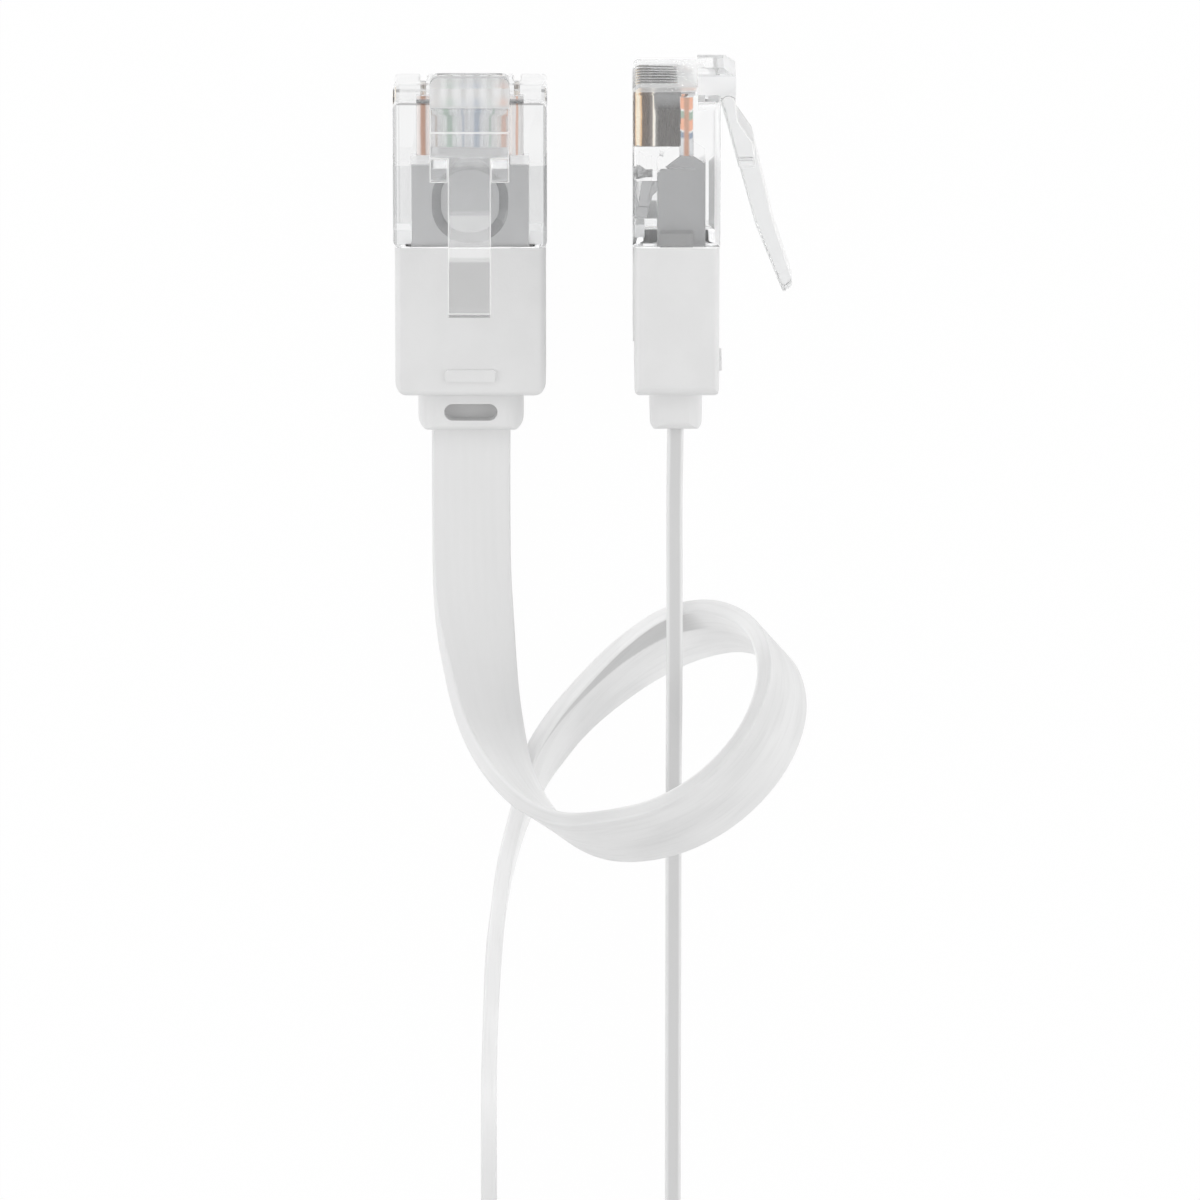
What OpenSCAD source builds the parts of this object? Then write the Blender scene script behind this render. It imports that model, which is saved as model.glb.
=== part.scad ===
// Flat ethernet patch cable: two clear 8-position modular plugs with moulded boots,
// joined by one flat cord that makes a single loop and ends in a tied coil.
// Millimetres, +Z up. The origin lies on the table, midway between the two plugs.
//
// Each plug is drawn in its own frame: X across the contacts, nose face at Y = 0 with the
// cord leaving towards -Y, and Z from the contact side (0) to the latch side.

/* [Plug body] */
// Width of the clear plug body
body_w = 11.68; // [11.4:0.02:12]
// Thickness of the plug body, contact side to latch side
body_h = 6.6; // [6.4:0.05:7]
// Length of the clear body in front of the boot
body_l = 12.3; // [12:0.1:14]
// Thickness of the thinner nose under the latch root
nose_h = 4.9; // [4.7:0.05:5.2]
// Length of that thinner nose
nose_l = 1.1; // [0.8:0.1:1.2]
// Radius of the long edges of the body
edge_r = 0.45; // [0.2:0.05:0.6]
// Radius of the body's four corners, seen from above
corner_r = 0.6; // [0.3:0.1:0.9]
// Width of the body's tail inside the boot
tail_w = 9.8; // [9.6:0.1:10.4]
// Thickness of the body's tail inside the boot
tail_h = 4.9; // [4.8:0.1:5.2]
// Length of the body's tail inside the boot
tail_l = 9.1; // [8:0.1:9.6]

/* [Contacts and wires] */
// Number of contacts, one to a wire
positions = 8; // [4:1:8]
// Distance from one contact to the next
pitch = 1.016; // [1.01:0.002:1.03]
// Diameter of an insulated wire
wire_d = 0.96; // [0.8:0.02:0.98]
// Height of the wires' centre line above the contact side
wire_z = 4.05; // [4:0.01:4.1]
// Distance from the nose to the wires' ends
wire_y = 0.95; // [0.8:0.05:1.2]
// Distance from the nose to the front of the inner mould
mould_y = 5.4; // [5.3:0.1:5.6]
// Distance from the nose to the front of the contacts
blade_y = 0.6; // [0.5:0.05:0.95]
// Thickness of a contact blade
blade_t = 0.35; // [0.3:0.01:0.38]
// Length of a contact blade along the plug
blade_l = 4.1; // [3.8:0.05:4.2]
// Depth of a contact's edge below the contact side
blade_drop = 0.25; // [0.2:0.05:0.5]
// Radius of the rounded front corner of a contact
blade_r = 0.5; // [0.3:0.05:0.6]
// Clearance between a contact or wire and its slot
seat_gap = 0.04; // [0.02:0.01:0.06]

/* [Latch] */
// Width of the latch between the jack's shoulders
latch_w = 6.02; // [5.8:0.02:6.2]
// Width of the latch's narrow handle
handle_w = 3.25; // [3:0.05:3.6]
// Thickness of the arm at its hinge
arm_t = 1.1; // [1:0.02:1.12]
// Distance from the nose to the latch's hinge
hinge_y = 1.75; // [1.7:0.05:1.9]
// Height of the hinge above the latch side
hinge_rise = 0.62; // [0.61:0.01:0.7]
// Radial clearance round the arm's rounded root
hinge_gap = 0.06; // [0.04:0.01:0.1]
// Distance from the nose to the locking shoulder
shoulder_y = 6.7; // [6.5:0.05:6.9]
// Distance from the nose to the handle's tip
tip_y = 16.6; // [15.5:0.1:17]
// Height of the handle's tip above the contact side
tip_z = 12.1; // [11.5:0.05:12.3]
// How far the latch's root stands ahead of the nose
root_ahead = 0.9; // [0.5:0.1:1.2]

/* [Boot] */
// Width of the boot
boot_w = 11.45; // [11.2:0.05:11.7]
// Thickness of the boot
boot_h = 6.4; // [6.3:0.05:6.45]
// Length of the boot's block
boot_l = 11.6; // [10.5:0.1:12]
// Radius of the boot's long edges
boot_edge_r = 0.6; // [0.3:0.1:0.9]
// Radius of the boot's corners at its cord end
boot_end_r = 1.1; // [0.6:0.1:1.6]
// Height of the wide pad on the boot's contact side
pad_h = 0.12; // [0.06:0.02:0.14]
// Height of the raised bar on the boot's latch side
rib_h = 0.24; // [0.1:0.02:0.4]
// Width of the collar behind the boot
collar_w = 8.05; // [7.8:0.05:9]
// Thickness of the collar
collar_h = 3.97; // [3.6:0.05:4.4]
// Length of the collar
collar_l = 3; // [2.9:0.1:4]
// Radius of the collar's long edges
collar_edge_r = 1.45; // [0.6:0.05:1.7]
// Radius of the collar's edges at its cord end
collar_end_r = 0.65; // [0.3:0.05:1]
// Depth of the pill-shaped recess in each face of the collar
pill_depth = 1.2; // [0.3:0.1:1.3]
// Length of the boot's lugs in the body's side pockets
lug_l = 1.1; // [0.8:0.05:1.5]
// Thickness of the lugs
lug_h = 2.4; // [1.6:0.1:3]

/* [Cord] */
// Width of the flat cord
cord_w = 6; // [5.8:0.05:6.1]
// Thickness of the flat cord
cord_t = 1.2; // [1.1:0.05:1.3]
// Outermost radius of the coil's centre line
coil_r = 32.4; // [32:0.2:36]
// Distance from one turn of the coil to the next
coil_pitch = 2.6; // [2.4:0.1:3]
// Free height between the coil's two layers
layer_gap = 0.5; // [0.45:0.05:0.8]
// Thickness of the coil's tie
tie_t = 0.6; // [0.4:0.1:0.8]
// Width of the coil's tie
tie_w = 7; // [4:0.5:9]

/* [Layout] */
// Free space between the two plugs
plug_gap = 6.47; // [6:0.01:7]
// How far plug B lies ahead of plug A
stagger = 1.1; // [0:0.1:2]

/* [Hidden] */
$fn = 48;
sides = ["a", "b"];
eps = 0.01;
cut = 2; // how far a cut runs past the face that it opens

// The wires' colours, pin 1 first.
wire_colours = ["moccasin", "darkorange", "honeydew", "royalblue", "lightblue", "seagreen", "bisque", "sienna"];

// ---- Places that several pieces share -------------------------------------------------------

row_w = (positions - 1) * pitch;            // from the first contact to the last
slot_top = wire_z + 0.1;                    // a contact's teeth pierce the wire up to here
chamber_r = wire_d / 2 + seat_gap;          // half the height of the wires' chamber
blade_back = blade_y + blade_l;
bar_h = 1.35;                               // height of a contact's front bar
plate_y = blade_y + 1.3;                    // where its full plate begins, behind the bar
tooth = (blade_back - plate_y) / 2;         // width of each of its two teeth
mould_w = row_w + wire_d + 0.85;            // width of the inner mould
mould_bottom = 1.9;                         // underside of the mould
mould_top = wire_z + 1.4;                   // its upper side
mould_back = body_l + tail_l;
cord_z = body_h / 2;                        // height at which the cord leaves the plug
tail_bottom = cord_z - tail_h / 2;
boot_bottom = cord_z - boot_h / 2 + 0.05;
boot_back = body_l + boot_l;
exit_y = boot_back + collar_l;
hinge_z = body_h + hinge_rise;
root_top = hinge_z + arm_t / 2;
clamp_y = [7.5, 10.3];                      // the strain-relief window, front and back
clamp_w = 6.4;
nip_y = [6.1, 7.2];                         // the wires' own clamping groove
mouth_w = 0.7;                              // width of each slot's rounded mouth in the nose
pocket_y = 6.2;                             // front of the pockets beside the mould
side_wall = 0.35;                           // thickness of the body's wall outside each pocket
recess_y = [5.6, 12];                       // the hollow under the latch
dish_h = 0.85;                              // its depth
channel_h = 0.12;                           // depth of the channel that the latch lies over

pair_w = body_w + plug_gap + tip_z;
a_x = -pair_w / 2 + body_w / 2;             // plug A's centre line
b_x = pair_w / 2 - tip_z;                   // plug B's contact side
nose_a_y = (exit_y - stagger - root_ahead) / 2;
nose_b_y = nose_a_y + stagger;

// The x of contact i, pin 1 first, at +X.
function pin_x(i) = ((positions - 1) / 2 - i) * pitch;

// ---- The cord's route -----------------------------------------------------------------------
// Each row is the centre line's point and the direction across the cord's flat.
// The flat turns from lying on the table to standing on its edge while it makes the loop.

run_end_y = -71.5;
bend_y = run_end_y - cord_w;                // where the coil's lead-in starts to curve
floor_z = cord_w / 2;
a_end_x = -8.1;
b_end_x = 6.25;

route_a = [
    [-9.3, -21.4, 3.3, 1, 0, 0],
    [-9.2, -27.4, 3.8, 1, -0.1, -0.1],
    [-8.7, -32.5, 5.2, 0.85, -0.2, -0.4],
    [-7.9, -36.7, 7, 0.8, -0.3, -0.6],
    [-6.5, -40.2, 9.1, 0.6, -0.4, -0.7],
    [-4.1, -42.9, 11.2, 0.5, -0.5, -0.7],
    [-0.9, -44.1, 13.4, 0.5, -0.6, -0.6],
    [2.6, -43.5, 15.8, 0.5, -0.7, -0.55],
    [6.5, -41.9, 17.6, 0.5, -0.7, -0.55],
    [10.2, -39.3, 18, 0.5, -0.7, -0.55],
    [13.1, -36.1, 16.4, 0.5, -0.7, -0.55],
    [14.4, -32.9, 13.1, 0.5, -0.7, -0.55],
    [13.5, -30.4, 9.2, 0.5, -0.7, -0.55],
    [10.6, -29.7, 5.8, 0.5, -0.7, -0.55],
    [7.1, -30.8, 3.5, 0.5, -0.7, -0.55],
    [3.6, -33, 2.7, 0.45, -0.6, -0.65],
    [0.6, -35.5, 2.8, 0.4, -0.5, -0.75],
    [-2, -38.2, 3, 0.4, -0.4, -0.85],
    [-3.9, -41.1, 3.1, 0.35, -0.3, -0.9],
    [-5.2, -44.5, 3.1, 0.2, -0.1, -1],
    [-6.6, -49.2, 3.05, 0.1, 0, -1],
    [-7.6, -55.9, 3, 0, 0, -1],
    [-8, -63.9, 3, 0, 0, -1],
];
route_b = [
    [6.25, -19.4, 6.3, 0, 0, -1],
    [6.25, -24.4, 8.2, 0, 0, -1],
    [6.25, -29.4, 9.2, 0, 0, -1],
    [6.25, -34.4, 8.2, 0, 0, -1],
    [6.25, -39.4, 5.2, 0, 0, -1],
    [6.25, -44.4, 3.4, 0, 0, -1],
    [6.25, -49.9, 3, 0, 0, -1],
    [6.25, -60.9, 3, 0, 0, -1],
];

// The straight starts run through the boot, from the mould to the collar's end.
starts_y = [mould_back, (mould_back + exit_y) / 2, exit_y];
a_start = [for (y = starts_y) [a_x, nose_a_y - y, cord_z, 1, 0, 0]];
b_start = [for (y = starts_y) [b_x + cord_z, nose_b_y - y, body_w / 2, 0, 0, -1]];
whole_a = concat(a_start, route_a, [[a_end_x, run_end_y, floor_z, 0, 0, -1]]);
whole_b = concat(b_start, route_b, [[b_end_x, run_end_y, floor_z, 0, 0, -1]]);

function unit(v) = v / norm(v);
function first3(r) = [r[0], r[1], r[2]];
function last3(r) = [r[3], r[4], r[5]];

// A Catmull-Rom curve through rows p, with k steps from each row to the next.
function blend4(a, b, c, d, t) =
    0.5 * (2 * b + (c - a) * t + (2 * a - 5 * b + 4 * c - d) * t * t + (3 * b - a - 3 * c + d) * t * t * t);
function curve(p, k) = let (n = len(p) - 1) concat(
    [for (i = [0:n - 1], j = [0:k - 1]) blend4(p[max(i - 1, 0)], p[i], p[i + 1], p[min(i + 2, n)], j / k)],
    [p[n]]);

// At row i: the tangent, the direction across the flat and the direction through it.
function tangent(rows, i) = unit(first3(rows[min(i + 1, len(rows) - 1)]) - first3(rows[max(i - 1, 0)]));
function across(rows, i) = let (t = tangent(rows, i), w = last3(rows[i])) unit(w - (w * t) * t);
function through(rows, i) = cross(tangent(rows, i), across(rows, i));

// The flat cord's cross-section, as [across, through]: eight-sided, or six-sided in the coil.
edge_bevel = 0.3;
flat_8 = let (w = cord_w / 2, t = cord_t / 2, b = edge_bevel) [
    [w, b - t], [w, t - b], [w - b, t], [b - w, t], [-w, t - b], [-w, b - t], [b - w, -t], [w - b, -t]];
flat_6 = let (w = cord_w / 2, t = cord_t / 2, b = edge_bevel) [
    [w, 0], [w - b, t], [b - w, t], [-w, 0], [b - w, -t], [w - b, -t]];

// One polyhedron swept along rows, with triangles only.
module ribbon(rows, section) {
    m = len(section);
    n = len(rows);
    points = [
        for (i = [0:n - 1], s = section)
            first3(rows[i]) + s[0] * across(rows, i) + s[1] * through(rows, i)
    ];
    walls = [
        for (i = [0:n - 2], j = [0:m - 1])
            let (a = i * m + j, b = i * m + (j + 1) % m, c = a + m, d = b + m)
            each [[a, b, c], [b, d, c]]
    ];
    start = [for (j = [1:m - 2]) [0, j + 1, j]];
    end = [for (j = [1:m - 2]) [(n - 1) * m, (n - 1) * m + j, (n - 1) * m + j + 1]];
    polyhedron(points, concat(walls, start, end));
}

// ---- The coil's route -----------------------------------------------------------------------
// The cord curves in from its straight run, spirals in on the lower layer, climbs a layer in
// the half turn where the spiral reverses, spirals out again and curves back to its other run.

lead_angle = 65;
rings_per_turn = 24;
coil_x = (a_end_x + b_end_x) / 2;
lead_r = (coil_r * cos(lead_angle) - (b_end_x - a_end_x) / 2) / (1 - cos(lead_angle));
coil_y = bend_y - (lead_r + coil_r) * sin(lead_angle);
coil_sweep = 4 * 360 + 2 * (lead_angle - 90);
coil_rings = round(coil_sweep * rings_per_turn / 360);
low_z = floor_z + tie_t + 0.2;
layer_h = cord_w + layer_gap;
drop_angle = 45;                            // the last stretch of the upper layer, where the drop begins
climb_angle = 180;

function ease(t) = let (u = max(0, min(1, t))) u * u * (3 - 2 * u);
function spiral_r(a) = coil_r - coil_pitch * min(a, coil_sweep - a) / 360;
lead_len = lead_r * lead_angle * PI / 180;
drop_len = lead_len + coil_r * drop_angle * PI / 180;
function drop(s) = (low_z + layer_h - floor_z) * ease(s / drop_len);
function coil_z(a) = low_z + layer_h * ease((a - coil_sweep / 2) / climb_angle + 0.5)
    - drop((a - coil_sweep + drop_angle) * coil_r * PI / 180);
function on_edge(p) = [p[0], p[1], p[2], 0, 0, -1];

lead_steps = 5;
coil_rows = concat(
    [on_edge([a_end_x, run_end_y, floor_z])],
    [for (i = [0:lead_steps - 1]) let (a = i * lead_angle / lead_steps) on_edge([
        a_end_x - lead_r * (1 - cos(a)),
        bend_y - lead_r * sin(a),
        floor_z + (low_z - floor_z) * ease(i / lead_steps)])],
    [for (i = [0:coil_rings]) let (a = i * coil_sweep / coil_rings, t = 180 - lead_angle + a) on_edge([
        coil_x + spiral_r(a) * cos(t),
        coil_y + spiral_r(a) * sin(t),
        coil_z(a)])],
    [for (i = [1:lead_steps]) let (a = lead_angle * (1 - i / lead_steps)) on_edge([
        b_end_x + lead_r * (1 - cos(a)),
        bend_y - lead_r * sin(a),
        low_z + layer_h - drop(drop_len - lead_len * (1 - i / lead_steps))])],
    [on_edge([b_end_x, run_end_y, floor_z])]);

// The gap between two places of the coil, both on edge: sideways, above or past a corner.
function edge_gap(p, q) = let (
    side = norm([p[0] - q[0], p[1] - q[1]]) - cord_t,
    up = abs(p[2] - q[2]) - cord_w)
    up <= 0 ? side : side <= 0 ? up : norm([side, up]);
function coil_gap() = min([
    for (i = [0:len(coil_rows) - 1], j = [i + rings_per_turn / 2:1:len(coil_rows) - 1])
        edge_gap(coil_rows[i], coil_rows[j])
]);

// The gap between two stretches of flat cord, on points spread across each one's middle plane.
function spread(rows) = [
    for (i = [0:len(rows) - 1], s = [-1:0.25:1]) first3(rows[i]) + s * (cord_w - cord_t) / 2 * across(rows, i)
];
function stretch_gap(p, q) = min([for (a = spread(p), b = spread(q)) norm(a - b)]) - cord_t;
function part_of(rows, from, to) = [for (i = [from:to]) rows[i]];
function loop_gap(rows) = stretch_gap(part_of(rows, 24, 60), part_of(rows, 108, 144));
function pass_gap(a, b) = stretch_gap(part_of(a, 90, 114), part_of(b, 18, 46));
function path_len(rows) = len(rows) < 2 ? 0 : [for (i = 1, s = 0; i <= len(rows);
    s = s + (i < len(rows) ? norm(first3(rows[i]) - first3(rows[i - 1])) : 0), i = i + 1) s][len(rows) - 1];

// ---- Shapes ---------------------------------------------------------------------------------

// A rectangle with round corners, centred on X, its lower side on Y = 0.
module round_rect(w, h, r) {
    translate([-w / 2 + r, 0]) square([w - 2 * r, h]);
    translate([-w / 2, r]) square([w, h - 2 * r]);
    for (x = [-1, 1], y = [r, h - r]) translate([x * (w / 2 - r), y]) circle(r);
}

// A bar that runs from y = -from to y = -to, with round long edges.
module bar(w, h, from, to, r) {
    translate([0, -from, 0]) rotate([90, 0, 0]) linear_extrude(to - from) round_rect(w, h, r);
}

// A profile drawn as [distance behind the nose, height], made w wide across the plug.
module across_plug(w) {
    translate([-w / 2, 0, 0]) rotate([0, 0, -90]) rotate([90, 0, 0]) mirror([0, 0, 1])
        linear_extrude(w) children();
}

// A plain box across the plug, from y = -from to y = -to and from z = low to z = high.
module block(w, from, to, low, high) {
    translate([-w / 2, -to, low]) cube([w, to - from, high - low]);
}

// A plan outline with round corners, from y = -from to y = -to, made from low to high.
module plan(w, from, to, low, high, r) {
    translate([0, -to, low]) linear_extrude(high - low) round_rect(w, to - from, r);
}

// A side view, h high above low, whose two corners at the cord end are round.
module rear_rounded(from, to, low, h, r) {
    translate([from, low]) square([to - from - r, h]);
    translate([from, low + r]) square([to - from, h - 2 * r]);
    for (z = [low + r, low + h - r]) translate([to - r, z]) circle(r);
}

// ---- Plug body ------------------------------------------------------------------------------

module body_block() {
    nose_r = 0.7;
    intersection() {
        bar(body_w, body_h, 0, body_l, edge_r);
        plan(body_w, 0, body_l, 0, body_h, corner_r);
        across_plug(body_w) union() {
            translate([nose_r, 0]) square([body_l - nose_r, body_h]);
            translate([0, nose_r]) square([body_l, nose_h - nose_r]);
            translate([nose_r, nose_r]) circle(nose_r);
        }
        union() {
            block(body_w, 0, body_l, 0, nose_h);
            plan(body_w, nose_l, body_l, nose_h - eps, body_h, corner_r);
        }
    }
}

// The fixed half of the latch's hinge: a block on the nose with a rounded seat behind it.
module latch_root() {
    chamfer = 0.6;
    difference() {
        intersection() {
            across_plug(latch_w) polygon([
                [-root_ahead, nose_h], [-root_ahead, root_top - chamfer * 1.5],
                [chamfer - root_ahead, root_top], [hinge_y, root_top],
                [hinge_y, nose_h - 0.3], [0.2, nose_h - 0.3], [0.2, nose_h]]);
            plan(latch_w, -root_ahead, hinge_y + cut, 0, root_top, chamfer);
        }
        hinge_rod(arm_t / 2 + hinge_gap, latch_w + cut);
        block(latch_w + cut, hinge_y, hinge_y + cut, body_h, root_top + cut);
    }
}

// A rod along the hinge's axis.
module hinge_rod(r, w) {
    translate([0, -hinge_y, hinge_z]) rotate([0, 90, 0]) cylinder(r = r, h = w, center = true);
}

// The slot that each contact is pressed into, open at the nose and at the contact side.
module contact_slots() {
    slot_w = blade_t + 2 * seat_gap;
    mouth_h = wire_z - chamber_r - 0.15;
    for (i = [0:positions - 1]) translate([pin_x(i), 0, 0]) {
        block(slot_w, -cut, blade_back + seat_gap, -cut, mouth_h);
        translate([0, 0, -cut]) cylinder(d = mouth_w, h = cut + mouth_h);
        block(slot_w, blade_y - seat_gap, blade_back + seat_gap, 0, wire_z);
    }
}

// The chamber for the wires, and behind it the hollow for the mould, which opens at the tail.
module inner_hollow() {
    across_plug(row_w + 2 * chamber_r) union() {
        translate([wire_y - seat_gap, wire_z - chamber_r])
            square([mould_y - wire_y + 2 * seat_gap, 2 * chamber_r]);
    }
    across_plug(mould_w + 2 * seat_gap) polygon(mould_outline(seat_gap, cut));
}

// The inner mould's side view, grown by g and lengthened by extra at the back.
function mould_outline(g, extra) = [
    [mould_y - g, wire_z - chamber_r],
    [mould_y - g, wire_z + chamber_r],
    [mould_y + 0.6 - g, mould_top + g],
    [mould_back + extra, mould_top + g],
    [mould_back + extra, mould_bottom - g],
    [mould_y + 1.3 - g, mould_bottom - g],
];

// The grooves and windows of the contact side, and the hollow under the latch.
module outer_pockets() {
    across_plug(clamp_w + 1.6) polygon([
        [nip_y[0], -cut], [nip_y[0], 0.5], [nip_y[0] + 0.35, 1], [nip_y[0] + 0.35, 1.5],
        [nip_y[1] - 0.15, 1.5], [nip_y[1] - 0.15, 1], [nip_y[1], 0.5], [nip_y[1], -cut]]);
    block(clamp_w + 2 * seat_gap, clamp_y[0] - seat_gap, clamp_y[1] + seat_gap, -cut, mould_bottom);
    block(clamp_w, clamp_y[1] + 0.5, body_l - 0.5, -cut, 0.9);
    dish();
    plan(latch_w + 0.1, hinge_y - 0.5, body_l + cut, body_h - channel_h, body_h + cut, 0.2);
}

// The hollow under the latch: a rounded dish with sloping sides and a flat floor.
module dish() {
    slope = 0.8;
    r = 2.8;
    w = latch_w / 2;
    floor_h = body_h - dish_h;
    rise = slope * (dish_h + eps) / dish_h;
    for (x = [r - w, w - r], y = [-recess_y[0] - r, r - recess_y[1]])
        translate([x, y, floor_h]) cylinder(r1 = r - slope, r2 = r - slope + rise, h = dish_h + eps);
    across_plug(2 * (w - r)) polygon([
        [recess_y[0] + slope - rise, body_h + eps], [recess_y[1] - slope + rise, body_h + eps],
        [recess_y[1] - slope, floor_h], [recess_y[0] + slope, floor_h]]);
    translate([0, -recess_y[0] - r, 0]) rotate([90, 0, 0])
        linear_extrude(recess_y[1] - recess_y[0] - 2 * r) polygon([
            [slope - rise - w, body_h + eps], [w - slope + rise, body_h + eps],
            [w - slope, floor_h], [slope - w, floor_h]]);
}

// A key beside the mould on both sides, from y = -from to y = -to, grown by g.
module side_keys(from, to, g) {
    inner = mould_w / 2 + 2 * seat_gap - g;
    outer = body_w / 2 - side_wall - seat_gap + g;
    for (x = [-1, 1]) translate([x * (inner + outer) / 2, 0, 0])
        block(outer - inner, from, to, cord_z - lug_h / 2 - g, cord_z + lug_h / 2 + g);
}

module housing() {
    color("gainsboro", 0.5) difference() {
        union() {
            body_block();
            translate([0, 0, tail_bottom]) bar(tail_w, tail_h, body_l - 1, body_l + tail_l, edge_r);
            latch_root();
        }
        contact_slots();
        inner_hollow();
        outer_pockets();
        side_keys(pocket_y, body_l, 2 * seat_gap);
    }
}

// The bar pressed in through the window, which grips the mould by its front lip.
module clamp() {
    color("gainsboro", 0.6) across_plug(clamp_w) polygon([
        [clamp_y[0], 0.7], [clamp_y[0], mould_bottom], [clamp_y[0] + 0.7, mould_bottom],
        [clamp_y[0] + 1.1, 1.5], [clamp_y[1], 1.1], [clamp_y[1], 0.35], [clamp_y[1] - 0.5, 0.35]]);
}

module mould() {
    color("lightgray") across_plug(mould_w) polygon(mould_outline(0, 0));
}

// The moving latch: a rounded root, a wide tab whose ramps end in shoulders, and a handle.
module latch() {
    ramp_y = [3.1, 4.8];
    crest = body_h + 2.6;
    bend_y = 11.3;
    under = [
        [hinge_y, hinge_z - arm_t / 2], [3.3, body_h + 0.5], [bend_y, body_h + 2.68],
        [tip_y - 0.1, tip_z - 0.75], [tip_y, tip_z - 0.6],
    ];
    color("gainsboro", 0.6) {
        hinge_rod(arm_t / 2, latch_w);
        across_plug(latch_w) polygon([
            under[0], under[1], [shoulder_y, body_h + 0.5 + (shoulder_y - 3.3) * 0.2725],
            [shoulder_y, crest], [ramp_y[1], crest - 0.1], [ramp_y[0], root_top + 0.15], [hinge_y, root_top]]);
        across_plug(handle_w) polygon([
            under[0], under[1], under[2], under[3], under[4],
            [tip_y - 0.4, tip_z - 0.05], [tip_y - 0.7, tip_z], [tip_y - 1.1, tip_z],
            [bend_y, body_h + 4.1], [ramp_y[1] + 0.6, crest + 0.1], [ramp_y[1], crest - 0.1],
            [ramp_y[0], root_top + 0.15], [hinge_y, root_top]]);
    }
}

// ---- Contacts and wires ---------------------------------------------------------------------

// The teeth's outline from the front to the back, grown by g.
function teeth_line(g) = [
    [plate_y - g, slot_top - 0.45],
    [plate_y + tooth / 2, slot_top + g],
    [plate_y + tooth, slot_top - 0.9],
    [plate_y + 1.5 * tooth, slot_top + g],
    [blade_back + g, slot_top - 0.45],
];

// A contact's side view: a bar with a rounded front corner, and a plate whose teeth pierce the wire.
function contact_outline() = concat(
    [for (a = [0:15:90]) [blade_y + blade_r * (1 - sin(a)), blade_drop + blade_r * (1 - cos(a))]],
    [[blade_y, blade_drop + bar_h - 0.3], [blade_y + 0.3, blade_drop + bar_h], [plate_y, blade_drop + bar_h]],
    teeth_line(0),
    [[blade_back, blade_drop + 0.3], [blade_back - 0.3, blade_drop]]);

// The shallow panel that is stamped into both faces of a contact's bar.
function panel_outline() = [
    [blade_y + 1.2, blade_drop + 0.5], [blade_back - 0.35, blade_drop + 0.5], [blade_back - 0.15, blade_drop + 0.7],
    [blade_back - 0.15, blade_drop + bar_h - 0.1], [blade_y + 0.75, blade_drop + bar_h - 0.1],
    [blade_y + 0.75, blade_drop + 0.95]];

module contact(i) {
    panel_depth = 0.05;
    color("goldenrod") translate([pin_x(i), 0, 0]) difference() {
        across_plug(blade_t) polygon(contact_outline());
        for (x = [-1, 1]) translate([x * (blade_t - panel_depth), 0, 0])
            across_plug(blade_t) polygon(panel_outline());
    }
}

module wire(i) {
    g = seat_gap / 2;
    below = [[blade_back + g, wire_z - wire_d], [plate_y - g, wire_z - wire_d]];
    color(wire_colours[i]) translate([pin_x(i), 0, 0]) difference() {
        translate([0, -wire_y, wire_z]) rotate([90, 0, 0]) cylinder(d = wire_d, h = mould_y - wire_y);
        across_plug(blade_t + seat_gap) polygon(concat(teeth_line(g), below));
    }
}

// ---- Boot -----------------------------------------------------------------------------------

// The slot that the flat cord runs through, with the cord's own cross-section.
module cord_slot() {
    translate([0, -mould_back + eps, cord_z]) rotate([90, 0, 0]) linear_extrude(exit_y - mould_back + cut)
        polygon(flat_8);
}

module boot() {
    fit = 0.03;
    color("whitesmoke") difference() {
        union() {
            intersection() {
                translate([0, 0, boot_bottom]) bar(boot_w, boot_h, body_l, boot_back, boot_edge_r);
                plan(boot_w, body_l - cut, boot_back, 0, body_h, boot_end_r);
                across_plug(boot_w) rear_rounded(body_l, boot_back, boot_bottom, boot_h, boot_edge_r);
            }
            intersection() {
                translate([0, 0, cord_z - collar_h / 2]) bar(collar_w, collar_h, boot_back - 1, exit_y, collar_edge_r);
                plan(collar_w, boot_back - cut, exit_y, 0, body_h, 1);
                across_plug(collar_w)
                    rear_rounded(boot_back - 1, exit_y, cord_z - collar_h / 2, collar_h, collar_end_r);
            }
            side_keys(body_l - lug_l, body_l + 0.5, seat_gap);
            // A small bar-shaped pad on the latch side and a wide pad on the contact side.
            plan(3.8, boot_back - 2.15, boot_back - 1.2, cord_z, boot_bottom + boot_h + rib_h, 0.2);
            plan(7, body_l + 1.5, boot_back - 3.8, boot_bottom - pad_h, cord_z, 0.5);
        }
        translate([0, 0, tail_bottom - fit])
            bar(tail_w + 2 * fit, tail_h + 2 * fit, body_l - seat_gap, body_l + tail_l, edge_r);
        cord_slot();
        for (z = [cord_z + collar_h / 2 - pill_depth, cord_z - collar_h / 2 - cut])
            plan(4.06, boot_back + 0.85, boot_back + 2.15, z, z + pill_depth + cut, 0.64);
    }
}

// ---- Cord and coil --------------------------------------------------------------------------

module cable_run_a() {
    color("whitesmoke") ribbon(curve(whole_a, 2), flat_8);
}

module cable_run_b() {
    color("whitesmoke") ribbon(curve(whole_b, 2), flat_8);
}

module cable_coil() {
    color("whitesmoke") ribbon(coil_rows, flat_6);
}

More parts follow.
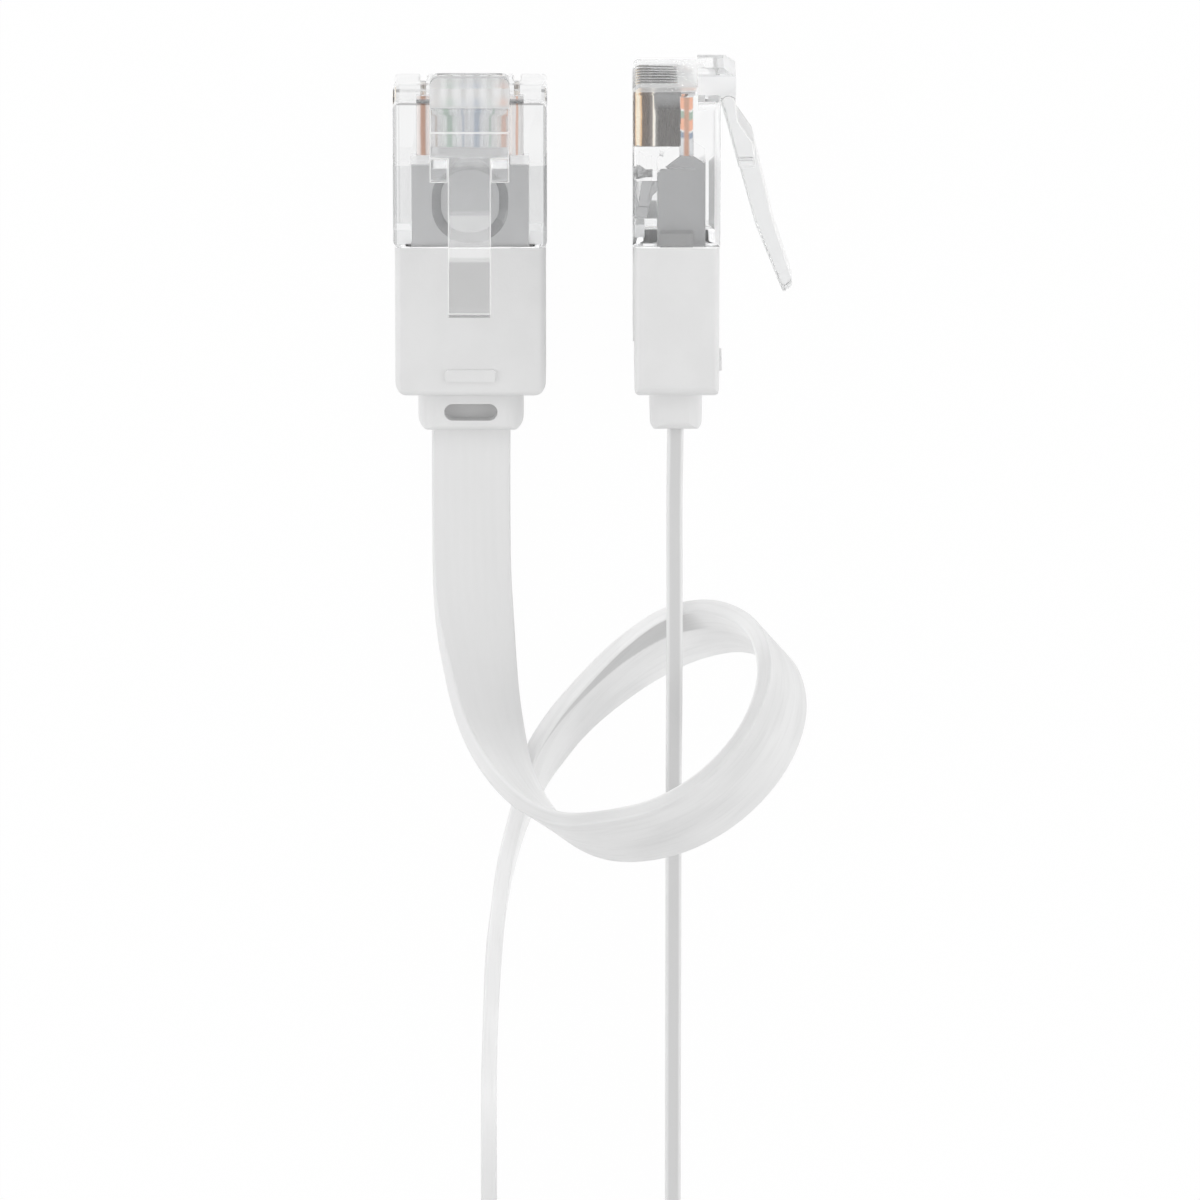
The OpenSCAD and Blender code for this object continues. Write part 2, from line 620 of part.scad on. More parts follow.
// A strap round the whole bundle, at the side of the coil that is furthest from the plugs.
module coil_tie() {
    room = 0.3;
    curve_room = 0.7;                       // the turns curve within the strap's width
    turn = (90 + lead_angle) / 360;
    inner_r = coil_r - coil_pitch * (turn + 1) - cord_t / 2 - curve_room;
    outer_r = coil_r - coil_pitch * turn + cord_t / 2 + room;
    inner_h = low_z - floor_z + cord_w + layer_h + 0.2 - tie_t;
    color("white") translate([coil_x - tie_w / 2, coil_y - (inner_r + outer_r) / 2, 0])
        rotate([90, 0, 90]) linear_extrude(tie_w) difference() {
            round_rect(outer_r - inner_r + 2 * tie_t, inner_h + 2 * tie_t, 0.9);
            translate([0, tie_t]) round_rect(outer_r - inner_r, inner_h, 0.4);
        }
}

// ---- Assembly -------------------------------------------------------------------------------

// Plug A lies on its contact side, and plug B on its edge with its latch towards +X.
module in_place(s) {
    if (s == "a") translate([a_x, nose_a_y, 0]) children();
    else translate([b_x, nose_b_y, body_w / 2]) rotate([0, 90, 0]) children();
}

for (s = sides) in_place(s) {
    housing();
    clamp();
    latch();
    mould();
    boot();
    for (i = [0:positions - 1]) {
        contact(i);
        wire(i);
    }
}
cable_run_a();
cable_run_b();
cable_coil();
coil_tie();

echo(least_coil_gap = coil_gap());  // cable_coil
let (a = curve(whole_a, 6), b = curve(whole_b, 6)) echo(  // cable_run_a
        least_loop_gap = loop_gap(a),
        least_pass_gap = pass_gap(a, b),
        cord_length = path_len(a) + path_len(b) + path_len(coil_rows));
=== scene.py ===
"""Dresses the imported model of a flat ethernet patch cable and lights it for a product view."""

import logging
import math
from collections.abc import Callable, Sequence
from dataclasses import dataclass, field
from enum import Enum
from itertools import accumulate
from typing import Any, Union

import bmesh
import bpy
from bpy.types import ID, ColorRamp, Material, Mesh, NodeSocket, NodeTree, Object
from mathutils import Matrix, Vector


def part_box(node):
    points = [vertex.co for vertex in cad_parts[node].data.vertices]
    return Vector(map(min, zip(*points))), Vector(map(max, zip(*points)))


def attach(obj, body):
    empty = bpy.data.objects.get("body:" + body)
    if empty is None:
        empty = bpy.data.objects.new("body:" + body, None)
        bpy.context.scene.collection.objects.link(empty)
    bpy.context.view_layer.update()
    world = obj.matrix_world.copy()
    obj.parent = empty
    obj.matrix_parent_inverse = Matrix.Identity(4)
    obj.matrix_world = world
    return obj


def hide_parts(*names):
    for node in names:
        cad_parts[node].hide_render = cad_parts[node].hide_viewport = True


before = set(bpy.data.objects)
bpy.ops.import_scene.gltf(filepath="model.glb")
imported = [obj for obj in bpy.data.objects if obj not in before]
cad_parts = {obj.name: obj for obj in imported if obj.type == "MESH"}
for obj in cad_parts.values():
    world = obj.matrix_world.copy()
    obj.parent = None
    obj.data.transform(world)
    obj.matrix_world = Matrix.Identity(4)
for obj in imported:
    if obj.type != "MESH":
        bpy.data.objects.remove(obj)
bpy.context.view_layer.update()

log = logging.getLogger("patch_cable")
MM = 0.001
ROOT = "cable"
Number = Union[int, float]
Key = Union[str, int]
Pair = tuple[float, float]
Triple = tuple[float, float, float]
Stops = list[tuple[float, Sequence[float]]]
Row = tuple[float, float, float, float, float, float]


# ---- Shader graphs ----


class Wire:
    """A shader socket's output that takes part in Python arithmetic."""

    def __init__(self, graph: "Graph", socket: NodeSocket) -> None:
        """Keeps the graph that makes the nodes and the socket that holds the value."""
        self.graph = graph
        self.socket = socket

    def _maths(self, operation: str, *values: "Value") -> "Wire":
        """Adds a Math node of that operation on these values."""
        return self.graph.node("ShaderNodeMath", {"operation": operation}, dict(enumerate(values)))

    def __add__(self, other: "Value") -> "Wire":
        """self + other."""
        return self._maths("ADD", self, other)

    __radd__ = __add__

    def __sub__(self, other: "Value") -> "Wire":
        """self - other."""
        return self._maths("SUBTRACT", self, other)

    def __rsub__(self, other: "Value") -> "Wire":
        """other - self."""
        return self._maths("SUBTRACT", other, self)

    def __mul__(self, other: "Value") -> "Wire":
        """self * other."""
        return self._maths("MULTIPLY", self, other)

    __rmul__ = __mul__

    def __truediv__(self, other: "Value") -> "Wire":
        """self / other."""
        return self._maths("DIVIDE", self, other)

    def sine(self) -> "Wire":
        """The sine of this value in radians."""
        return self._maths("SINE", self)

    def size(self) -> "Wire":
        """The value without its sign."""
        return self._maths("ABSOLUTE", self)

    def most(self, other: "Value") -> "Wire":
        """The larger of this value and another."""
        return self._maths("MAXIMUM", self, other)

    def least(self, other: "Value") -> "Wire":
        """The smaller of this value and another."""
        return self._maths("MINIMUM", self, other)

    def ramp(self, low: float, high: float) -> "Wire":
        """0 at low, 1 at high and smooth between them.

        Args:
            low: The value that gives 0.
            high: The value that gives 1.

        Returns:
            The eased value.
        """
        return self.graph.node(
            "ShaderNodeMapRange",
            {"interpolation_type": "SMOOTHSTEP"},
            {"Value": self, "From Min": low, "From Max": high},
        )


Value = Union[Wire, Number, Sequence[float], Material]


def rgba(colour: Sequence[float], share: float = 1.0) -> tuple[float, ...]:
    """A colour with its alpha, darker where the share is under 1."""
    return (*(c * share for c in colour), 1.0)


class Graph:
    """Builds the nodes of one material, world or geometry tree."""

    def __init__(self, tree: NodeTree) -> None:
        """Empties the tree and keeps it."""
        self.tree = tree
        tree.nodes.clear()

    def node(
        self,
        kind: str,
        settings: dict[str, Any] | None = None,
        values: dict[Key, Value] | None = None,
        out: Key = 0,
    ) -> Wire:
        """Adds a node, and sets or links its sockets.

        Args:
            kind: The node's type.
            settings: Its own properties; "stops" holds a ramp's places and colours.
            values: A wire, number, colour or material for each input, by name or number.
            out: The output that is given back, by name or number.

        Returns:
            The output's wire.
        """
        made = self.tree.nodes.new(kind)
        for name, value in (settings or {}).items():
            if name == "stops":
                self._set_stops(made.color_ramp, value)
            else:
                setattr(made, name, value)
        for key, value in (values or {}).items():
            if isinstance(value, Wire):
                self.tree.links.new(value.socket, made.inputs[key])
            else:
                made.inputs[key].default_value = value
        return Wire(self, made.outputs[out] if made.outputs else None)

    @staticmethod
    def _set_stops(ramp: ColorRamp, stops: Stops) -> None:
        """Gives a ramp its places and colours."""
        while len(ramp.elements) < len(stops):
            ramp.elements.new(0.5)
        for element, (place, colour) in zip(ramp.elements, stops):
            element.position = place
            element.color = colour

    def noise(
        self, where: Wire, scale: float | Sequence[float], detail: float = 2.0, rough: float = 0.5
    ) -> Wire:
        """A cloudy pattern from 0 to 1.

        Args:
            where: The coordinates it lies on.
            scale: Its fineness, or one for each axis.
            detail: How many finer patterns are added.
            rough: How strong those are.

        Returns:
            The pattern.
        """
        if not isinstance(scale, (int, float)):
            where, scale = self.moved(where, scale=scale), 1.0
        return self.node(
            "ShaderNodeTexNoise",
            {"noise_dimensions": "3D"},
            {"Vector": where, "Scale": scale, "Detail": detail, "Roughness": rough},
            "Fac",
        )

    def places(self) -> Wire:
        """The piece's own coordinates, in metres."""
        return self.node("ShaderNodeTexCoord", out="Object")

    def moved(
        self, where: Wire, shift: Sequence[float] = (0, 0, 0), scale: Sequence[float] = (1, 1, 1)
    ) -> Wire:
        """Coordinates scaled and then shifted."""
        return self.node(
            "ShaderNodeMapping",
            {"vector_type": "POINT"},
            {"Vector": where, "Location": shift, "Scale": scale},
        )

    def measured_from(self, where: Wire, point: Sequence[float]) -> Wire:
        """Coordinates from a point of the piece."""
        return self.moved(where, tuple(-c for c in point))

    def outputs(self, kind: str, values: dict[Key, Value] | None = None) -> dict[str, Wire]:
        """Adds a node and gives all of its outputs by their names."""
        made = self.node(kind, {}, values).socket.node
        return {out.name: Wire(self, out) for out in made.outputs}

    def parts(self, where: Wire) -> tuple[Wire, Wire, Wire]:
        """The X, Y and Z of a vector."""
        return tuple(self.outputs("ShaderNodeSeparateXYZ", {"Vector": where}).values())

    def blend(self, share: Value, first: Value, second: Value) -> Wire:
        """A colour between two colours."""
        values = {"Factor": share, 6: first, 7: second}
        return self.node("ShaderNodeMix", {"data_type": "RGBA"}, values, 2)

    def bump(self, height: Wire, distance: float, strength: float = 1.0) -> Wire:
        """A normal that follows a height pattern; distance is in metres."""
        values = {"Height": height, "Distance": distance, "Strength": strength}
        return self.node("ShaderNodeBump", {}, values)

    def principled(self, **values: Value) -> Wire:
        """A Principled shader; each input's name has _ for its spaces."""
        inputs = {name.replace("_", " "): value for name, value in values.items()}
        return self.node("ShaderNodeBsdfPrincipled", {}, inputs)

    def glazed(self, body: Wire, shade: Sequence[float]) -> Wire:
        """A clear body that only tints the light that reaches what is inside.

        Args:
            body: The shader for sight.
            shade: The tint of the passing light.

        Returns:
            The mixed shader.
        """
        passed = self.node("ShaderNodeBsdfTransparent", {}, {"Color": rgba(shade)})
        light = self.light_path()["Is Shadow Ray"]
        return self.node("ShaderNodeMixShader", {}, {0: light, 1: body, 2: passed})

    def light_path(self) -> dict[str, Wire]:
        """What kind of ray sees the surface, by the output's name."""
        return self.outputs("ShaderNodeLightPath")

    def surface(self, shader: Wire) -> None:
        """Links the finished shader to the material's output."""
        self.node("ShaderNodeOutputMaterial", {}, {"Surface": shader})


# ---- Finishes ----


@dataclass(frozen=True)
class Finish:
    """What a surface is made of."""

    name: str

    def material(self) -> Material:
        """Makes the material, or finds the one already made under this name.

        Returns:
            The material.
        """
        found = bpy.data.materials.get(self.name)
        if found:
            return found
        made = bpy.data.materials.new(self.name)
        made.use_nodes = True
        graph = Graph(made.node_tree)
        graph.surface(self.shader(graph))
        return made

    def shader(self, graph: Graph) -> Wire:
        """Builds the surface's shader; each finish gives its own.

        Args:
            graph: The material's graph, to add to.

        Returns:
            The finished shader.
        """
        raise NotImplementedError

    def dress(self, *objects: Object) -> None:
        """Puts the material on every slot of these objects."""
        for thing in objects:
            slots = thing.data.materials
            if not slots:
                slots.append(self.material())
            for i in range(len(slots)):
                slots[i] = self.material()


@dataclass(frozen=True)
class ClearPlastic(Finish):
    """Clear polycarbonate with faint flow marks, through which the lamps still shine; a painted shade
    line runs along the edges of the moulding's box, and stretches along Y can be painted lighter or
    darker.
    """

    tint: Triple = (0.93, 0.935, 0.94)
    # The colour of the painted shade line along the box's edges.
    edge: Triple = (0.22, 0.225, 0.23)
    shade: Triple = (0.985, 0.988, 0.99)
    clarity: float = 0.9
    roughness: float = 0.03
    ior: float = 1.55
    box: tuple[Triple, Triple] | None = None
    line: float = 0.14 * MM
    # Stretches along Y, each with a painted tone, lighter or darker, for the light and shade that
    # fall there.
    stretches: tuple[Triple, ...] = ()
    change: float = 0.1 * MM
    flow_depth: float = 0.004 * MM

    def shader(self, graph: Graph) -> Wire:
        """Glass for sight, and a plain tint for the light that reaches what is inside."""
        where = graph.places()
        flow = graph.noise(where, (420, 140, 420), 3.0)
        specks = graph.noise(where, 5200.0, 1.0).ramp(0.62, 0.8)
        tint: Value = rgba(self.tint)
        # Painted shade: a dark line along the edges of the moulding's box.
        if self.box:
            tint = graph.blend(self.outline(graph, where), tint, rgba(self.edge))
        # Painted light and shade: stretches along Y tinted lighter or darker.
        for start, end, tone in self.stretches:
            tint = graph.blend(self.stretch(graph, where, start, end), tint, rgba((tone,) * 3))
        body = graph.principled(
            Base_Color=tint,
            Roughness=specks * 0.05 + self.roughness,
            IOR=self.ior,
            Transmission_Weight=self.clarity,
            Normal=graph.bump(flow, self.flow_depth),
        )
        return graph.glazed(body, self.shade)

    def stretch(self, graph: Graph, where: Wire, start: float, end: float) -> Wire:
        """1 on a stretch along Y, with quick changes at its ends."""
        y, quick = graph.parts(where)[1], self.change
        return y.ramp(start - quick, start + quick) * (1 - y.ramp(end - quick, end + quick))

    def outline(self, graph: Graph, where: Wire) -> Wire:
        """1 along the twelve edges of the moulding's box, where two of its sides are near: the mask
        of the painted shade line.

        Args:
            graph: The graph to add to.
            where: The piece's own coordinates.

        Returns:
            The mask of the edges.
        """
        sides = zip(graph.parts(where), *self.box)
        near = [(c - low).size().least((high - c).size()) for c, low, high in sides]
        second = near[0].least(near[1]).most(near[0].most(near[1]).least(near[2]))
        return 1 - second.ramp(self.line * 0.5, self.line * 1.3)


@dataclass(frozen=True)
class EdgeHighlight(Finish):
    """The white line on a clear moulding's round edges: a half-milky finish, mostly a painted
    highlight.
    """

    tint: Triple = (0.97, 0.97, 0.97)
    shade: Triple = (0.9, 0.9, 0.9)
    clarity: float = 0.35

    def shader(self, graph: Graph) -> Wire:
        """Half clear and half milky, with a faint ripple."""
        ripple = graph.noise(graph.places(), 2500.0, 2.0)
        body = graph.principled(
            Base_Color=rgba(self.tint),
            Roughness=ripple * 0.10 + 0.12,
            IOR=1.55,
            Transmission_Weight=self.clarity,
        )
        return graph.glazed(body, self.shade)


@dataclass(frozen=True)
class SatinMoulding(Finish):
    """Moulded soft plastic with a fine spark-eroded grain; its glow, where set, is painted light."""

    colour: Triple = (0.80, 0.80, 0.80)
    roughness: float = 0.42
    grain: float = 4200.0
    depth: float = 0.009 * MM
    # Painted light: an emission that brightens the faces that take it.
    glow: float = 0.0

    def shader(self, graph: Graph) -> Wire:
        """A pale body whose tone, gloss and grain vary a little."""
        where = graph.places()
        cloud = graph.noise(where, 330.0, 3.0)
        grain = graph.noise(where, self.grain, 2.0, 0.6)
        return graph.principled(
            Base_Color=graph.blend(cloud.ramp(0.3, 0.7), rgba(self.colour, 0.972), rgba(self.colour)),
            Roughness=cloud * 0.10 + grain * 0.08 + (self.roughness - 0.09),
            IOR=1.5,
            Normal=graph.bump(grain, self.depth, 0.8),
            Emission_Color=rgba(self.colour),
            Emission_Strength=self.glow,
        )


@dataclass(frozen=True)
class CordJacket(Finish):
    """The flat cord's extruded jacket, streaked along its length over eight covered conductors, with
    painted light and shade: darker patches and streaks on the bent stretch, the upturned edge darker
    where the cord stands on it, a dark wedge inside the loop, and a glow on the loop's inner face and
    rim.
    """

    colour: Triple = (0.81, 0.81, 0.81)
    conductors: int = 8
    flat: float = 5.8 * MM
    # The bent stretch, which takes painted shade and a painted glow.
    bends: Pair = (36 * MM, 118 * MM)
    # Past edge_run the cord stands on its edge, and its upturned edge is painted darker along its
    # middle as shade.
    edge_run: float = 845 * MM
    edge_middle: float = 6.7 * MM
    # The middle of the loop's inner face, and the strength of the painted glow there.
    inner_middle: float = 3.3 * MM
    inner_light: float = 0.18
    depth: float = 0.022 * MM

    def shader(self, graph: Graph) -> Wire:
        """Reads the cord's own map: U along it and V round it, both in metres."""
        along = graph.node("ShaderNodeUVMap", {"uv_map": "jacket"})
        u, v, _ = graph.parts(along)
        streak = graph.noise(along, (55, 5200, 1), 3.0, 0.6)
        scuff = graph.noise(along, (150, 900, 1), 2.0)
        waves = (v * (2 * math.pi * self.conductors / self.flat)).sine()
        height = streak * 0.6 + waves * 0.35
        start, end = self.bends
        # Painted shade on the bent stretch: darker patches and streaks; faint random scuffs darken
        # the whole cord a little.
        bent = u.ramp(start - 8 * MM, start) * (1 - u.ramp(end, end + 10 * MM))
        cloud = graph.noise(along, (95, 260, 1), 2.0).ramp(0.42, 0.66)
        marks = graph.noise(along, (210, 3300, 1), 3.0, 0.6).ramp(0.45, 0.7)
        shade = bent * (cloud * 0.65 + marks * 0.35) + scuff.ramp(0.25, 0.75) * 0.12
        # Painted shade: the upturned edge darker along its middle.
        off_edge = (v - self.edge_middle).size()
        edge_shade = u.ramp(self.edge_run, self.edge_run + 4 * MM)
        edge_shade = edge_shade * (1 - off_edge.ramp(0.3 * MM, 0.5 * MM))
        bright, darker, dim = (rgba(self.colour, share) for share in (1.0, 0.89, 0.80))
        # Painted shade: a dark wedge inside the loop beside its rim.
        wedge_shade = self.wedge_shade(u, v)
        skin = graph.blend(shade.most(wedge_shade), bright, darker)
        skin = graph.blend(wedge_shade * (0.6 + marks * 0.4), skin, dim)
        # Painted light: a glow on the loop's inner face and on its rim.
        off_inner = (v - self.inner_middle).size()
        inner = bent * (1 - off_inner.ramp(2.8 * MM, 3.2 * MM)) * (1 - wedge_shade * 0.7)
        rim = bent * u.ramp(64 * MM, 70 * MM) * (1 - off_edge.ramp(0.5 * MM, 0.7 * MM))
        return graph.principled(
            Base_Color=graph.blend(edge_shade, skin, dim),
            Roughness=streak * 0.18 + 0.30,
            IOR=1.52,
            Normal=graph.bump(height, self.depth, 0.7),
            Emission_Color=graph.blend(inner.most(rim), (0.0, 0.0, 0.0, 1.0), skin),
            Emission_Strength=self.inner_light,
        )

    @staticmethod
    def wedge_shade(u: Wire, v: Wire) -> Wire:
        """Painted shade: the dark wedge beside the rim inside the loop, which narrows along the cord.
        """
        narrowed = v - (u - 78 * MM) * 0.13
        below = narrowed.ramp(4.0 * MM, 4.3 * MM) * (1 - v.ramp(5.9 * MM, 6.1 * MM))
        return below * u.ramp(74 * MM, 77 * MM) * (1 - u.ramp(91 * MM, 93.5 * MM))


@dataclass(frozen=True)
class ContactPlating(Finish):
    """Gold flash on the blade's touching edge and dull nickel on the plate behind it, with painted
    light and shade: a glow, dark shade across the plate and a highlight band at the top of the solid
    bar.
    """

    nose: Triple = (0.0, 0.0, 0.0)
    side: int = 2
    reach: float = 2 * MM
    depth: float = 0.006 * MM
    # Painted light: an emission on the plating.
    glow: float = 0.19

    def shader(self, graph: Graph) -> Wire:
        """Metal whose plating follows the height above the contact side."""
        where = graph.places()
        local = graph.measured_from(where, self.nose)
        lines = graph.noise(where, (9000, 700, 9000), 2.0)
        cloud = graph.noise(where, 900.0, 2.0)
        height = graph.parts(local)[self.side] / self.reach + (cloud - 0.5) * 0.05
        plating = graph.node("ShaderNodeValToRGB", {"stops": self.stops()}, {"Fac": height})
        return graph.principled(
            Base_Color=plating,
            Metallic=1.0,
            Roughness=lines * 0.22 + 0.16,
            Normal=graph.bump(lines, self.depth),
            Emission_Color=plating,
            Emission_Strength=self.glow,
        )

    @staticmethod
    def stops() -> Stops:
        """The colours from the touching edge inwards: the gold flash, then dark painted shade on the
        plate, a painted highlight band at the top of the solid bar, and painted shade beyond it.
        """
        return [
            (0.24, (1.00, 0.90, 0.72, 1.0)),
            (0.32, (0.82, 0.52, 0.27, 1.0)),
            (0.37, (0.13, 0.08, 0.05, 1.0)),
            (0.60, (0.10, 0.075, 0.06, 1.0)),
            (0.73, (0.28, 0.24, 0.21, 1.0)),
            (0.77, (1.00, 0.93, 0.82, 1.0)),
            (0.83, (1.00, 0.95, 0.88, 1.0)),
            (0.87, (0.30, 0.285, 0.27, 1.0)),
            (0.97, (0.10, 0.092, 0.085, 1.0)),
        ]


class WireTone(Enum):
    """The eight wires in pin order: flanks' colour, crown's colour and its half width in mm. The
    solid colours' pale flanks are partly painted light.
    """

    WHITE_ORANGE = ((0.92, 0.90, 0.89), (0.80, 0.50, 0.38), 0.09)
    ORANGE = ((0.92, 0.84, 0.79), (0.84, 0.36, 0.17), 0.20)
    WHITE_GREEN = ((0.90, 0.91, 0.90), (0.45, 0.60, 0.50), 0.09)
    BLUE = ((0.82, 0.84, 0.88), (0.22, 0.33, 0.50), 0.20)
    WHITE_BLUE = ((0.90, 0.905, 0.92), (0.48, 0.55, 0.68), 0.09)
    GREEN = ((0.82, 0.88, 0.84), (0.27, 0.48, 0.33), 0.20)
    WHITE_BROWN = ((0.91, 0.90, 0.89), (0.60, 0.46, 0.40), 0.09)
    BROWN = ((0.88, 0.80, 0.77), (0.52, 0.27, 0.17), 0.20)


@dataclass(frozen=True)
class Insulation(Finish):
    """A wire's glossy insulation, its colour along the crown between pale flanks that are partly
    painted light, and a glow of painted light.
    """

    tone: WireTone = WireTone.ORANGE
    centre: Triple = (0.0, 0.0, 0.0)
    # Painted light: an emission on the insulation.
    glow: float = 0.22
    glimpses: bool = False
    length: float = 4.45 * MM

    @staticmethod
    def neighbours() -> Stops:
        """Painted: the colours of the wires behind as they would show past this one, from its cord
        end to its front.
        """
        white, grey = (0.86, 0.85, 0.84, 1.0), (0.66, 0.67, 0.68, 1.0)
        orange, blue = (0.84, 0.40, 0.24, 1.0), (0.20, 0.26, 0.36, 1.0)
        green = (0.30, 0.40, 0.32, 1.0)
        bands = [
            (grey, 0.0, 0.28),
            (blue, 0.31, 0.38),
            (white, 0.41),
            (orange, 0.44, 0.60),
            (green, 0.63, 0.74),
            (white, 0.77),
            (orange, 0.81, 1.0),
        ]
        return [(place, colour) for colour, *places in bands for place in places]

    def shader(self, graph: Graph) -> Wire:
        """A band over the wire's centre line, with paler flanks."""
        where = graph.places()
        local = graph.measured_from(where, self.centre)
        off, along, _ = graph.parts(local)
        wobble = graph.noise(where, (1500, 500, 1500), 1.0)
        edge = (off + (wobble - 0.5) * (0.1 * MM)).size()
        flank, crown, half_width = self.tone.value
        stripe = 1 - edge.ramp(half_width * 0.5 * MM, half_width * 1.5 * MM)
        pale: Value = rgba(flank)
        if self.glimpses:
            share = along / self.length + (wobble - 0.5) * 0.1 + 0.5
            pale = graph.node("ShaderNodeValToRGB", {"stops": self.neighbours()}, {"Fac": share})
        skin = graph.blend(stripe, pale, rgba(crown))
        return graph.principled(
            Base_Color=skin,
            Roughness=wobble * 0.15 + 0.22,
            IOR=1.5,
            Emission_Color=skin,
            Emission_Strength=self.glow,
        )


@dataclass(frozen=True)
class Copper(Finish):
    """Dull copper strands at a wire's cut end."""

    def shader(self, graph: Graph) -> Wire:
        """Drawn metal under a film of tarnish."""
        cloud = graph.noise(graph.places(), 7000.0, 2.0)
        bare, tarnish = (0.52, 0.38, 0.31, 1.0), (0.34, 0.25, 0.21, 1.0)
        return graph.principled(
            Base_Color=graph.blend(cloud.ramp(0.4, 0.7), bare, tarnish),
            Metallic=1.0,
            Roughness=cloud * 0.2 + 0.35,
        )


@dataclass(frozen=True)
class WovenStrap(Finish):
    """Brushed nylon of a hook-and-loop strap."""

    colour: Triple = (0.80, 0.80, 0.81)
    threads: float = 9000.0
    depth: float = 0.05 * MM

    def shader(self, graph: Graph) -> Wire:
        """A fine weave with fluff over it."""
        where = graph.places()
        x, y, z = graph.parts(where)
        weave = (x * self.threads).sine() * ((y + z) * self.threads).sine()
        fluff = graph.noise(where, 2600.0, 3.0, 0.7)
        return graph.principled(
            Base_Color=graph.blend(fluff, rgba(self.colour, 0.82), rgba(self.colour)),
            Roughness=0.85,
            Sheen_Weight=0.3,
            Normal=graph.bump(weave * 0.5 + fluff, self.depth),
        )


@dataclass(frozen=True)
class StudioFloor(Finish):
    """The white table, which keeps the object's soft shadow."""

    colour: float = 0.93
    glow: float = 0.98
    near: float = 0.10
    far: float = 0.45
    far_level: float = 0.35

    def shader(self, graph: Graph) -> Wire:
        """Plain white for lamps, and mostly plain white light for sight."""
        where = graph.places()
        cloud = graph.noise(where, 6.0, 1.0)
        body = graph.principled(
            Base_Color=rgba((self.colour,) * 3),
            Roughness=cloud * 0.02 + 0.9,
            Specular_IOR_Level=0.0,
        )
        out = graph.node("ShaderNodeVectorMath", {"operation": "LENGTH"}, {0: where}, "Value")
        path = graph.light_path()
        level = path["Is Camera Ray"].most(1 - out.ramp(self.near, self.far) * (1 - self.far_level))
        white = graph.node("ShaderNodeEmission", {}, {"Color": (1, 1, 1, 1), "Strength": level})
        seen = path["Is Camera Ray"].most(path["Is Transmission Ray"]).most(path["Is Glossy Ray"])
        return graph.node("ShaderNodeMixShader", {}, {0: seen * self.glow, 1: body, 2: white})


# ---- Object helpers ----


def linked(name: str, data: ID) -> Object:
    """A new object of the scene with this data."""
    thing = bpy.data.objects.new(name, data)
    bpy.context.scene.collection.objects.link(thing)
    return thing


def put_in_scene(name: str, mesh: Mesh, body: str, finish: Finish) -> Object:
    """Makes a piece of a finished mesh.

    Args:
        name: The piece's name.
        mesh: Its mesh, already in the row frame, in metres.
        body: The body it moves with.
        finish: Its finish.

    Returns:
        The new object.
    """
    piece = linked(name, mesh)
    finish.dress(piece)
    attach(piece, body)
    log.info("piece %s: %d faces", name, len(mesh.polygons))
    return piece


def merged_copy(node: str, name: str) -> Mesh:
    """A CAD node's mesh with its loose triangles joined and its flat faces whole.

    Args:
        node: The node.
        name: The copy's name.

    Returns:
        The copy.
    """
    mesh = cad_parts[node].data.copy()
    mesh.name = name
    work = bmesh.new()
    work.from_mesh(mesh)
    bmesh.ops.remove_doubles(work, verts=work.verts, dist=1e-6)
    bmesh.ops.dissolve_limit(
        work,
        angle_limit=math.radians(0.6),
        use_dissolve_boundaries=False,
        verts=work.verts,
        edges=work.edges,
    )
    work.to_mesh(mesh)
    work.free()
    return mesh


def applied(piece: Object) -> Object:
    """Turns a piece's modifiers into its plain mesh.

    Args:
        piece: The piece.

    Returns:
        The same piece.
    """
    graph = bpy.context.evaluated_depsgraph_get()
    graph.update()
    mesh = bpy.data.meshes.new_from_object(piece.evaluated_get(graph))
    piece.modifiers.clear()
    old = piece.data
    piece.data = mesh
    mesh.name = piece.name
    bpy.data.meshes.remove(old)
    return piece


def softened(
    node: str,
    body: str,
    finish: Finish,
    width: float,
    segments: int = 2,
    edge: Finish | None = None,
    sharp: float = 32.0,
) -> Object:
    """A CAD node's shape with the small round edges that moulding leaves.

    Args:
        node: The CAD node that the piece stands for.
        body: The body it moves with.
        finish: Its finish.
        width: The round edge's width in metres.
        segments: The faces across a round edge.
        edge: The round edges' own finish, if it differs.
        sharp: The least angle of an edge that is rounded, in degrees.

    Returns:
        The new piece.
    """
    name = f"{node}_moulded"
    piece = put_in_scene(name, merged_copy(node, name), body, finish)
    for face in piece.data.polygons:
        face.use_smooth = True
    bevel = piece.modifiers.new("edges", "BEVEL")
    bevel.width = width
    bevel.segments = segments
    bevel.limit_method = "ANGLE"
    bevel.angle_limit = math.radians(sharp)
    bevel.use_clamp_overlap = True
    if edge:
        piece.data.materials.append(edge.material())
        bevel.material = len(piece.data.materials) - 1
    flatten = piece.modifiers.new("flat_faces", "WEIGHTED_NORMAL")
    flatten.mode = "FACE_AREA"
    flatten.weight = 100
    applied(piece)
    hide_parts(node)
    return piece


def paint(
    piece: Object,
    finish: Finish,
    wanted: Callable[[Vector, Vector], bool],
    only: int | None = None,
) -> None:
    """Gives some of a piece's faces a finish of their own.

    Args:
        piece: The piece.
        finish: The faces' finish.
        wanted: Says by a face's middle and its normal whether it takes the finish.
        only: The material slot that a face must have now; None for any.
    """
    piece.data.materials.append(finish.material())
    slot = len(piece.data.materials) - 1
    for face in piece.data.polygons:
        if only in (None, face.material_index) and wanted(face.center, face.normal):
            face.material_index = slot


# ---- Plugs ----


class Side(Enum):
    """The two plugs: one flat on the table, one on its edge."""

    A = "a"
    B = "b"


